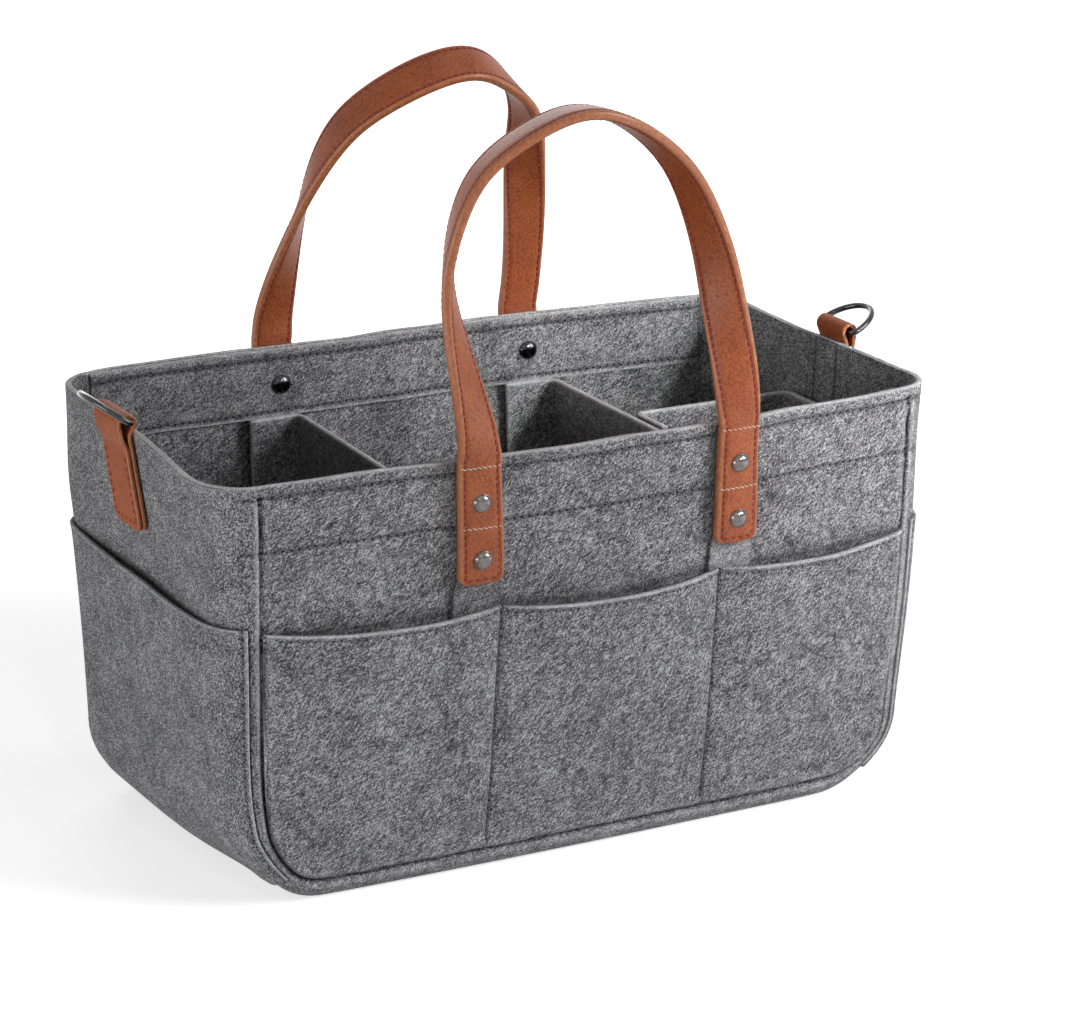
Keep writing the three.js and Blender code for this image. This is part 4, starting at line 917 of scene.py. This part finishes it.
def bandSection(halfWidths, halfDepths):  # offsets across and through the band, one row for each ring
    edge = np.minimum(strap["edgeRadius"], halfDepths * 0.75)[:, None]
    w, h = halfWidths[:, None], halfDepths[:, None]
    fromEdge = np.array([1.3, 1.7, 2.0, 2.3, 2.6, 3.0, 4.2, 6, 8])
    shares = np.concatenate([fromEdge, strap["width"] - fromEdge[::-1]]) / (strap["width"] / 2)
    a = (w - edge) * (1 - (shares - shares[0]) / (1 - shares[0]))[None, :]
    gap = np.abs(np.abs(a) - (w - strap["stitchInset"]))  # from the line of stitches
    t = h + strap["crown"] * (1 - (a / w) ** 2) - strap["grooveDepth"] * hump(gap, strap["grooveWidth"])
    turns = np.linspace(0, math.pi / 2, 5)[1:-1]
    arcA = np.concatenate([w - edge + edge * np.sin(turns), w + 0 * edge], 1)
    arcT = np.concatenate([h - edge + edge * np.cos(turns), h - edge], 1)
    across = np.concatenate([a, -arcA, -arcA[:, ::-1], -a, arcA, arcA[:, ::-1]], 1)
    through = np.concatenate([t, arcT, -arcT[:, ::-1], -t, -arcT, arcT[:, ::-1]], 1)
    return across, through, np.tile(np.repeat([0, 1], [a.shape[1] - 1, 2 * arcA.shape[1] + 1]), 2)


def makeBand(name, centres, across, through, reach):
    fromEnd = np.minimum(reach, reach[-1] - reach)
    radius = strap["footRadius"]
    halfWidths = strap["width"] / 2 - radius * (1 - np.sqrt(1 - (1 - np.clip(fromEnd / radius, 0, 1)) ** 2))
    halfWidths = halfWidths + strap["footFlare"] * (1 - smooth(0, strap["drop"], fromEnd))
    halfDepths = strap["thickness"] / 2 * mix(0.62, 1, np.clip(fromEnd / 0.9, 0, 1) ** 0.5)
    a, t, sides = bandSection(halfWidths, halfDepths)
    rings = centres[:, None] + across[:, None] * a[..., None] + through[:, None] * t[..., None]
    ids = np.arange(a.size).reshape(a.shape)
    slots = [*np.tile(sides, len(ids) - 1), 1, 1]
    faces = [*tubeFaces(ids), ids[0, ::-1], ids[-1]]
    return newPiece(name, rings.reshape(-1, 3), faces, [strapLeather, edgePaint], slots)


leatherThread = {"pitch": 2.9, "length": 2.45, "radius": 0.47, "slant": 0.14}
crossThread = {"pitch": 2.1, "length": 2.3, "radius": 0.27, "slant": 0.34}
tackZ = 178.0


def crownAt(a):  # how far the strap's face stands out at this place across it
    return strap["crown"] * (1 - (2 * a / strap["width"]) ** 2)


def bandStitchPaths(centres, across, through, reach):
    total, gap = reach[-1], strap["footGap"]
    inset = strap["width"] / 2 - strap["stitchInset"]
    half = strap["thickness"] / 2 + strap["crown"] * 0.5 - strap["grooveDepth"]
    stops = np.concatenate([np.arange(gap, total - gap, 1.2), [total - gap]])
    along = np.concatenate([centres, across, through], 1)
    found = alongPath(along, stops)
    # the feet are sewn on one face only
    free = found[(stops > strap["drop"] + 4) & (stops < total - strap["drop"] - 4)]
    paths = []
    for hand in (-1, 1):
        for rows, face in ((found, 1), (free, -1)):
            line = rows[:, :3] + rows[:, 3:6] * hand * inset + rows[:, 6:] * half * face
            paths.append(withNormals(line, rows[:, 6:] * face))
    for foot in alongPath(along, np.array([gap, total - gap])):
        a = np.linspace(-inset, inset, 12)[:, None]
        line = foot[:3] + foot[3:6] * a + foot[6:] * (strap["thickness"] / 2 + crownAt(a))
        paths.append(withNormals(line, foot[6:]))
    return paths


def tackPaths(shape):  # two cream rows across each foot, through strap and wall
    a = np.linspace(-strap["width"] / 2 + 0.4, strap["width"] / 2 - 0.4, 14)
    paths = []
    for footX, lean in zip(shape["feet"], shape["footLeans"]):
        for z in (tackZ, caddy["facingStitchZ"]):
            x, z = footCentre(footX, lean, z) + a, z + 0 * a
            line = settle(wallSurface(shape["side"], x, z, strap["inner"] + strap["thickness"] + crownAt(a)))
            paths.append(withNormals(line, wallNormal(shape["side"], x, z)))
    return paths


for prefix, shape in handles.items():
    body = prefix + "_handle"
    centres, across, through = handlePath(shape)
    reach = runLength(centres)
    band = makeBand(prefix + "HandleLeather", centres, across, through, reach)
    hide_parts(prefix + "_handle_loop", prefix + "_left_strap_foot", prefix + "_right_strap_foot")
    paths = bandStitchPaths(centres, across, through, reach)
    seams = stitchPiece(prefix + "HandleStitches", paths, leatherThread, [redThread])
    x, y, z = [joint for joint in frame["joints"] if joint["child"] == body][0]["pos_m"]
    for piece in (band, seams):
        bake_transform(piece)
    tack = stitchPiece(prefix + "StrapTackStitches", tackPaths(shape), crossThread, [creamThread])
    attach(tack, "body")
print("handles made")

# Felt strips behind the straps

backingShape = {"width": 21, "thickness": 1.2, "bottom": 60, "rimMargin": 0.6, "tuckedHalf": 9,
                "columns": (-1, -0.94, -0.85, -0.5, 0, 0.5, 0.85, 0.94, 1),
                "edgeShades": (0.9, 0.4, 0, 0, 0, 0, 0, 0.3, 0.6), "shades": {"left": 0.35, "right": -0.22}}
for prefix, shape in handles.items():
    for hand, footX, lean in zip(("left", "right"), shape["feet"], shape["footLeans"]):
        z = np.linspace(backingShape["bottom"], rimZ - backingShape["rimMargin"], 40)[:, None]
        # narrower where the strap hides it
        half = mix(backingShape["width"] / 2, backingShape["tuckedHalf"], smooth(125, 132, z))
        x, z = np.broadcast_arrays(footCentre(footX, lean, z) + half * np.array(backingShape["columns"]), z)
        # painted shade on each left strip, painted highlight on each right strip, and painted shade along
        # both edges of every strip
        shade = mix(backingShape["shades"][hand], 1, np.array(backingShape["edgeShades"]))
        inner = wallSurface(shape["side"], x, z, caddy["seat"])
        outer = wallSurface(shape["side"], x, z, caddy["seat"] + backingShape["thickness"])
        backing = sheetPiece(prefix + hand.capitalize() + "StrapBackingFelt", outer, inner,
                             [facingFelt, facingFelt], np.broadcast_to(shade, x.shape))
        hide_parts(f"{prefix}_{hand}_strap_backing")
        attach(backing, "body")

# Rivets and their inside caps

rivetShape = {"drops": (16.5, 40.7), "head": (4.0, 2.1), "cap": (4.3, 1.9), "rim": 0.4, "groove": 0.05,
              "domeShare": 0.93, "sides": 36}  # head and cap are (radius, height)


def domeOutline(radius, height):
    rim, share = rivetShape["rim"], rivetShape["domeShare"]
    turns = np.linspace(0, math.pi / 2, 10)[:-1]
    dome = [(radius * share * math.cos(t), rim * 0.8 + (height - rim * 0.8) * math.sin(t)) for t in turns]
    edge = [(0.9, 0), (1, rim * 0.25), (1, rim * 0.8), (0.98, rim), (0.95, rim - rivetShape["groove"])]
    return [*[(radius * part, z) for part, z in edge], *dome, (0.05, height)]


def placeOnWall(piece, side, x, z, outside, facing):
    normal = wallNormal(side, x, z)
    at = settle(wallSurface(side, x, z, 0)) + normal * outside
    turn = Vector((0, 1, 0)).rotation_difference(Vector(normal * facing))
    piece.matrix_world = Matrix.Translation(Vector(at) * metresPerMm) @ turn.to_matrix().to_4x4()


strapFace = strap["inner"] + strap["thickness"] + strap["crown"]
sides = rivetShape["sides"]
for prefix, shape in handles.items():
    for hand, footX, lean in zip(("left", "right"), shape["feet"], shape["footLeans"]):
        for level, drop in zip(("upper", "lower"), rivetShape["drops"]):
            z = rimZ - drop
            label = prefix + hand.capitalize() + level.capitalize()
            footAt = footCentre(footX, lean, z)
            head = lathePiece(label + "Rivet", domeOutline(*rivetShape["head"]), sides, rivetNickel)
            placeOnWall(head, shape["side"], footAt, z, strapFace, 1)
            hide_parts(f"{prefix}_{hand}_{level}_rivet")
            cap = lathePiece(label + "RivetCap", domeOutline(*rivetShape["cap"]), sides, blackNickel)
            depth = caddy["wallFelt"] + (facingShape["thickness"] + caddy["seat"] if level == "upper" else 0)
            placeOnWall(cap, shape["side"], footAt, z, -depth, -1)
            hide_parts(f"{prefix}_{hand}_{level}_rivet_cap")
            for piece, slotName in ((head, "rivet_nickel"), (cap, "ring_metal")):
                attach(piece, "body")
print("rivets made")

# Ring tabs on the end walls, and their rings

def tabPoint(place, a, y, z):
    a, y, z = np.broadcast_arrays(a, y, z)
    drift = np.array([place["end"] * place["out"], 0, -place["sink"]])
    return np.stack([place["end"] * (tabSetback + a), place["shift"] + y + tabLean(place, z), z], -1) + drift


def makeTab(name, place):
    end, width = place["end"], place["width"]
    bottom = rimZ - place["drop"]
    slope = (halfLength(rimZ) - halfLength(bottom)) / place["drop"]
    half, middle = tab["layer"] / 2, tabDepth / 2
    radius = place["eye"] - half
    zs = bottom + np.array([0, 0.5, 1.2, 2.2, 3.4, 5, 8, 12, 17, 22, 27, 32])
    innerLeg, outerLeg = (np.stack([a - slope * (rimZ - zs), zs], -1) for a in (half, tabDepth - half))
    roll = [(half - 0.05, rimZ - 4), (half - 0.25, rimZ - 0.8)]  # the fold that holds the ring
    turns = np.radians([188, 150, 115, 80, 45, 10])
    roll += [(middle + radius * math.cos(t), eyeZ + radius * math.sin(t)) for t in turns]
    roll += [(middle + radius * 0.93, eyeZ - 2.6), (middle + radius * 0.72, eyeZ - 6.5)]
    bend = throughPoints(np.concatenate([innerLeg[-2:], roll, outerLeg[:-3:-1]]), np.linspace(0, 1, 60))
    line = np.concatenate([innerLeg[:-2], bend, outerLeg[-3::-1]])
    tangent = unit(np.gradient(line, axis=0))
    normal = np.stack([tangent[:, 1], -tangent[:, 0]], -1)
    fromFoot = np.clip((line[:, 1] - bottom) / tab["footRadius"], 0, 1)
    halfWidth = width / 2 - tab["footRadius"] * (1 - np.sqrt(1 - (1 - fromFoot) ** 2))
    y = halfWidth[:, None] * np.array([-1, -0.9, -0.8, -0.7, -0.5, -0.25, 0, 0.25, 0.5, 0.7, 0.8, 0.9, 1])
    faces = []
    for away in (half, -half):
        a, z = (line - normal * away).T
        faces.append(tabPoint(place, a[:, None], y, z[:, None]))
    points, quads, sides, _ = sheetShell(*faces, 0.45)
    piece = newPiece(name, points, quads, [tabLeather, edgePaint], sides)
    inset, footSeam = width / 2 - tab["inset"], 3
    zs = np.linspace(bottom + footSeam, rimZ - 9, 24)
    rows = [(hand * inset, zs) for hand in (-1, 1)] + [(np.linspace(-inset, inset, 12), bottom + footSeam)]
    paths = []
    for y, z in rows:
        line = tabPoint(place, tabDepth - slope * (rimZ - z) - 0.05, y, z)
        paths.append(withNormals(line, (end, 0, 0)))
    return piece, stitchPiece(name + "Stitches", paths, tabThread, [redThread])


def makeRing(name, place):
    end, shift = place["end"], place["shift"] + place["ringShift"]
    half = place["width"] / 2 + ringShape["wire"] + place["ringGap"]
    corner, reach = ringShape["cornerRadius"], ringShape["reach"]
    turns = np.linspace(0, math.pi / 2, 9)
    path = [(y, 0.0) for y in np.linspace(-half + corner, half - corner, 8)]
    path += [(half - corner + corner * math.sin(t), corner - corner * math.cos(t)) for t in turns[1:]]
    arc = np.linspace(0, math.pi, 61)[1:-1]
    path += [(half * math.cos(t), corner + (reach - corner) * math.sin(t)) for t in arc]
    path += [(-half + corner - corner * math.cos(t), corner - corner * math.sin(t)) for t in turns[:-1]]
    path = np.array(path)
    tangent = unit(np.roll(path, -1, 0) - np.roll(path, 1, 0))
    around = np.arange(ringShape["wireSides"]) / ringShape["wireSides"] * 2 * math.pi
    radius = ringShape["wire"]
    y = path[:, :1] + tangent[:, 1:] * np.cos(around) * radius
    a = path[:, 1:] - tangent[:, :1] * np.cos(around) * radius
    up = np.broadcast_to(np.sin(around) * radius, y.shape)
    lean = math.radians(place["tilt"])
    x = a * math.cos(lean) - up * math.sin(lean)
    z = a * math.sin(lean) + up * math.cos(lean)
    points = np.stack([end * (tabSetback + tabDepth / 2 + x), shift + y, eyeZ + z], -1)
    ids = np.arange(y.size).reshape(y.shape)
    return newPiece(name, points.reshape(-1, 3), tubeFaces(np.concatenate([ids, ids[:1]])), [blackNickel])


for prefix, place in ends.items():
    leather, seams = makeTab(prefix + "TabLeather", place)
    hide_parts(prefix + "_ring_tab")
    ring = makeRing(prefix + "RingWire", place)
    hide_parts(prefix + "_ring")
    for piece, bodyName, slotName in ((leather, "body", "strap_leather"), (seams, "body", "strap_leather"),
                                      (ring, prefix + "_ring", "ring_metal")):
        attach(piece, bodyName)
print("ring tabs and rings made")

# Dividers: a plate with both ends folded

divider = {"thickness": 2.6, "top": 151, "lower": 16, "fold": 24, "bend": 4, "clearance": 1, "tape": 2.2,
           "leftFrontX": -58, "leftBackX": -51.5, "rightX": 74, "crossY": 19,
           "longPlateTop": 20, "crossPlateTop": 39,
           "endFluff": (-0.3, 0.9), "topFluff": (-0.35, -1), "plateRoundness": 0.2}
foldStandoff = caddy["wallFelt"] + divider["tape"] + 2 * caddy["seat"]
plateBottom = caddy["wallFelt"] + divider["clearance"]


def foldedPath(corners):
    corners = np.array(corners, float)
    path = [corners[0]]
    for before, corner, after in zip(corners, corners[1:], corners[2:]):
        before = corner + unit(before - corner) * divider["bend"]
        after = corner + unit(after - corner) * divider["bend"]
        for t in np.linspace(0, 1, 8):
            path.append(before * (1 - t) ** 2 + corner * 2 * t * (1 - t) + after * t ** 2)
    path = np.array([*path, corners[-1]])
    steps = runLength(path)
    nearEnds = [0.5, 1.1, steps[-1] - 1.1, steps[-1] - 0.5]
    fine = alongPath(path, np.unique(np.concatenate([nearEnds, np.linspace(0, steps[-1], 60), steps])))
    return fine[np.concatenate([[True], np.linalg.norm(np.diff(fine, axis=0), axis=1) > 0.15])]


def plateFaces(rows, zs):  # both faces of a plate, from its middle line at each height
    rows = np.array(rows)
    tangent = unit(np.gradient(rows, axis=1))
    normal = np.stack([-tangent[..., 1], tangent[..., 0]], -1)
    heights = np.broadcast_to(np.asarray(zs, float)[:, None, None], (*rows.shape[:2], 1))
    half = divider["thickness"] / 2
    return [np.concatenate([rows + normal * side * half, heights], -1) for side in (1, -1)]


def foldedSheet(cornersAt, zs):
    rows = [foldedPath(cornersAt(z)) for z in zs]
    count = min(len(row) for row in rows)
    for k, row in enumerate(rows):
        if len(row) != count:
            rows[k] = alongPath(row, np.linspace(0, runLength(row)[-1], count))
    return plateFaces(rows, zs)


def longCorners(frontX, backX):
    standoff = -foldStandoff - divider["thickness"] / 2
    corners = ((-1, frontX - divider["fold"]), (-1, frontX), (1, backX), (1, backX - divider["fold"]))
    return lambda z: [wallSurface(side, x, z, standoff)[:2] for side, x in corners]


def crossCorners(z):
    standoff = 2 * caddy["seat"] + divider["tape"] + divider["thickness"] / 2
    left = divider["rightX"] + divider["thickness"] / 2 + standoff
    right = halfLength(z) - caddy["wallFelt"] - standoff
    y = divider["crossY"]
    return [(left, y - divider["fold"]), (left, y), (right, y), (right, y - divider["fold"])]


def makeDivider(name, cornersAt, foldBottom, start, finish, plateTop):
    top = divider["top"]
    zs = np.concatenate([np.linspace(foldBottom, top - 6, 14), [top - 3, top - 1.2, top]])
    folded = foldedSheet(cornersAt, zs)
    steps = np.linalg.norm(np.diff(folded[0], axis=1), axis=-1)
    fromStart = np.concatenate([np.zeros((len(zs), 1)), np.cumsum(steps, axis=1)], 1)
    # painted highlight at both ends of the folded sheet and along its top edge
    strength, width = divider["endFluff"]
    paintedHighlight = strength * hump(np.minimum(fromStart, fromStart[:, -1:] - fromStart), width)
    paintedHighlight[-2:] = np.array(divider["topFluff"])[:, None]
    upper = sheetShell(*folded, caddy["cutEdgeRoundness"], paintedHighlight, inside=paintedHighlight)
    lowZs = np.linspace(plateBottom, plateTop, 8)  # the plain plate under the folds
    rows = [mix(start(z), finish(z), np.linspace(0, 1, 12)[:, None]) for z in lowZs]
    lower = sheetShell(*plateFaces(rows, lowZs), divider["plateRoundness"])
    points, faces, slots, crease = (np.concatenate(pair) for pair in zip(upper, lower))
    faces[len(upper[1]):] += len(upper[0])
    return newPiece(name, points, faces, felts, slots, crease)


def plateEnd(corners, k, other, inset):
    def at(z):
        found = np.array(corners(max(z, divider["lower"])))
        return found[k] + unit(found[other] - found[k]) * inset(z)
    return at


def longInset(z):
    curl = caddy["baseRoll"] * (1 - z / divider["lower"]) if z < divider["lower"] else 0
    return divider["bend"] + curl + 0.5


def straightInset(z):
    return divider["bend"] + divider["clearance"]


def curledInset(z):  # clear of the gusset's lower corner
    if z >= cornerZ:
        return straightInset(z)
    reach = crossCorners(cornerZ)[2][0] - straightInset(z) - cornerX
    share = math.sqrt(max(1 - ((cornerZ - z) / (cornerZ - plateBottom + 0.4)) ** 2, 0))
    return straightInset(z) + reach * (1 - share)


leftCorners = longCorners(divider["leftFrontX"], divider["leftBackX"])
rightCorners = longCorners(divider["rightX"], divider["rightX"])
for body, corners, foldBottom, startInset, endInset, plateTop in (
        ("left_divider", leftCorners, divider["lower"], longInset, longInset, divider["longPlateTop"]),
        ("right_divider", rightCorners, divider["lower"], longInset, longInset, divider["longPlateTop"]),
        ("cross_divider", crossCorners, cornerZ, straightInset, curledInset, divider["crossPlateTop"])):
    start, finish = plateEnd(corners, 1, 2, startInset), plateEnd(corners, 2, 1, endInset)
    piece = makeDivider(body.replace("_divider", "DividerFelt"), corners, foldBottom, start, finish, plateTop)
    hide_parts(body)
    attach(piece, body)
for nodeName, node in frame["nodes"].items():
    if nodeName.endswith("_tape"):
        node.data.materials.clear()
        node.data.materials.append(hookNylon)
print("dividers made")

# Stitches in the felt

feltThread = {"pitch": 3.4, "length": 2.3, "radius": 0.3, "slant": 0.06, "hole": 0.5, "lift": 0.12}


def wallStitches(side, reach, z, outside, facing=1):
    x = np.linspace(-reach, reach, 160 if facing > 0 else 150)
    line = settle(wallSurface(side, x, z + 0 * x, outside))
    return withNormals(line, wallNormal(side, x, z + 0 * x) * facing)


def feltSeams():
    behind = caddy["wallFelt"] + caddy["seat"] + facingShape["thickness"]
    rows = ((caddy["rimStitchZ"], caddy["rimGroove"]), (caddy["facingStitchZ"], caddy["stitchDip"]))
    paths = []
    for side in (-1, 1):
        for z, dip in rows:
            paths.append(wallStitches(side, halfPanel(z) - 2, z, feltThread["lift"] - dip))
            reach = halfSeam(rimZ) - facingShape["endMargin"] - 5
            paths.append(wallStitches(side, reach, z, dip - feltThread["lift"] - behind, -1))
    return paths


def pocketSeams():
    halves, zs = outlineRows(pocketShape["top"], [], wallShape)
    block = pocketShape["columns"] + 2 * len(pocketShape["endShares"]) - 1
    mouth = np.array([pocketShape["top"] - pocketShape["mouthStitch"]])
    lines = []
    for side in (-1, 1):  # the two sewn lines between the pouches
        outer = settle(pocketGrid(side, halves, zs)[0])
        lines += [(side, outer[zs > panelBottom + 3, column]) for column in (block, 2 * block)]
    lines += [(side, settle(pocketGrid(side, halfPanel(mouth), mouth)[0][0, 6:-6])) for side in (-1, 1)]
    paths = []
    for side, line in lines:
        line = line + np.array([0, side * 0.1, 0])
        paths.append(withNormals(line, wallNormal(side, line[:, 0], line[:, 2])))
    for end in (-1, 1):
        grid, normals, _, over, _ = endPocketGrid(end)
        surface = settle(grid + normals * (over + 0.1)[..., None])
        paths += [withNormals(surface[:, column], normals[:, column]) for column in (4, -5)]
    return paths


def tabSeamsInside():  # the tabs' stitches come through on the inside of the end walls
    paths = []
    for place in ends.values():
        zs = np.linspace(rimZ - place["drop"] + 3, rimZ - 4, 24)
        x = place["end"] * (halfLength(zs) - caddy["wallFelt"] - tab["welt"] - 0.05)
        for hand in (-1, 1):
            y = place["shift"] + hand * (place["width"] / 2 - tab["inset"]) + tabLean(place, zs)
            paths.append(withNormals(settle(np.stack([x, y, zs], -1)), (-place["end"], 0, 0)))
    return paths


paths = feltSeams() + pocketSeams() + tabSeamsInside()
seams = stitchPiece("feltSeamStitches", paths, feltThread, [greyThread, needleHoleShade])
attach(seams, "body")
print("felt stitches made")

# Studio: floor, light and camera

studio = {"floor": "#f2f2f2", "floorGlow": 0.64, "glowFrom": 0.3, "glowTo": 0.75,
          "floorZ": -0.2, "floorHalf": 6000,
          "world": "#ffffff", "worldStrength": 0.05}
softboxes = {  # where each one stands and what it aims at, in metres, its size and its power in watts
    "key": {"at": (0.85, -0.85, 0.66), "aim": (0.03, 0, 0.1), "size": (0.6, 0.6), "power": 13.6},
    "fill": {"at": (-1.7, -0.45, 0.3), "aim": (0, 0, 0.1), "size": (1.4, 0.4), "power": 15.4},
    "top": {"at": (0.1, -0.2, 1.7), "aim": (0, 0, 0.1), "size": (0.4, 0.4), "power": 1.6},
    "back": {"at": (0.5, 1.6, 0.9), "aim": (0, 0, 0.12), "size": (1.2, 0.6), "power": 7},
    "glint": {"at": (-0.5, -1.6, 1.2), "aim": (0, 0, 0.15), "size": (0.12, 0.5), "power": 1.6},
    "grid": {"at": (0.45, -1.1, 0.6), "aim": (0.155, -0.09, 0.2), "size": (0.15, 0.15), "power": 0.075,
             "spread": 13},
}
cameraFit = {"azimuth": -29.0, "elevation": 17.75, "roll": 0.53, "distance": 1682.22, "focalPixels": 3964.8,
             "shiftX": -18.75, "shiftY": -28.98, "aimZ": 90, "imageWidth": 1080, "sensor": 36}


def seenRays(tree):  # 1 on the rays that show the studio itself, straight or in gloss and glass
    rays = addNode(tree, "ShaderNodeLightPath").outputs
    seen = rays["Is Camera Ray"]
    for kind in ("Is Glossy Ray", "Is Transmission Ray"):
        seen = addNode(tree, "ShaderNodeMath", {"operation": "MAXIMUM"}, {0: seen, 1: rays[kind]}).outputs[0]
    return seen


floorMaterial, tree = newMaterial("paleStudioFloor")
seen = seenRays(tree)
spot = addNode(tree, "ShaderNodeTexCoord").outputs["Object"]
away = addNode(tree, "ShaderNodeVectorMath", {"operation": "LENGTH"}, {0: spot}).outputs["Value"]
glow = addNode(tree, "ShaderNodeMapRange", {"interpolation_type": "SMOOTHSTEP"}, {
    "Value": away, "From Min": studio["glowFrom"], "From Max": studio["glowTo"],
    "To Min": studio["floorGlow"], "To Max": 1.0}).outputs[0]
glow = addNode(tree, "ShaderNodeMath", {"operation": "MULTIPLY"}, {0: seen, 1: glow}).outputs[0]
shader = addNode(tree, "ShaderNodeBsdfPrincipled", None, {
    "Base Color": colour(studio["floor"]), "Roughness": 0.9, "Specular IOR Level": 0.1,
    "Emission Color": colour("#ffffff"), "Emission Strength": glow})
addNode(tree, "ShaderNodeOutputMaterial", None, {"Surface": shader.outputs[0]})
half, floorZ = studio["floorHalf"], studio["floorZ"]
corners = [(x * half, y * half, floorZ) for x, y in ((-1, -1), (1, -1), (1, 1), (-1, 1))]
floor = newPiece("studioFloor", corners, [(0, 1, 2, 3)], [floorMaterial])
if floor.data.polygons[0].normal.z < 0:
    floor.data.flip_normals()

world = bpy.data.worlds.new("studioWorld")
bpy.context.scene.world = world
world.use_nodes = True
tree = world.node_tree
tree.nodes.clear()
seen = seenRays(tree)
strength = addNode(tree, "ShaderNodeMath", {"operation": "MULTIPLY_ADD"},
                   {0: seen, 1: 1 - studio["worldStrength"], 2: studio["worldStrength"]}).outputs[0]
sky = addNode(tree, "ShaderNodeBackground", None, {"Color": colour(studio["world"]), "Strength": strength})
addNode(tree, "ShaderNodeOutputWorld", None, {"Surface": sky.outputs[0]})


def addSoftbox(name, at, aim, size, power, spread=180):
    lamp = bpy.data.lights.new(name, "AREA")
    lamp.shape, lamp.size, lamp.size_y, lamp.energy = "RECTANGLE", size[0], size[1], power
    lamp.spread = math.radians(spread)
    holder = bpy.data.objects.new(name, lamp)
    holder.location = at
    holder.rotation_mode = "QUATERNION"
    holder.rotation_quaternion = (Vector(aim) - Vector(at)).to_track_quat("-Z", "Y")
    bpy.context.scene.collection.objects.link(holder)


for name, softbox in softboxes.items():
    addSoftbox(name + "Softbox", **softbox)

a, e, roll = (math.radians(cameraFit[key]) for key in ("azimuth", "elevation", "roll"))
backward = Vector((math.sin(a) * math.cos(e), -math.cos(a) * math.cos(e), math.sin(e)))
right = Vector((math.cos(a), math.sin(a), 0))
up = backward.cross(right)
right, up = math.cos(roll) * right + math.sin(roll) * up, -math.sin(roll) * right + math.cos(roll) * up
place = Vector((0, 0, cameraFit["aimZ"])) - cameraFit["shiftX"] * right - cameraFit["shiftY"] * up
place += cameraFit["distance"] * backward
cameraData = bpy.data.cameras.new("photoCamera")
cameraData.sensor_width = cameraFit["sensor"]
cameraData.lens = cameraFit["focalPixels"] * cameraFit["sensor"] / cameraFit["imageWidth"]
cameraData.clip_start, cameraData.clip_end = 0.05, 50
camera = bpy.data.objects.new("photoCamera", cameraData)
camera.matrix_world = Matrix((
    (right.x, up.x, backward.x, place.x * metresPerMm), (right.y, up.y, backward.y, place.y * metresPerMm),
    (right.z, up.z, backward.z, place.z * metresPerMm), (0, 0, 0, 1)))
bpy.context.scene.collection.objects.link(camera)
bpy.context.scene.camera = camera
bpy.context.scene.view_settings.view_transform = "Standard"

bpy.context.view_layer.update()
print("scene ready")
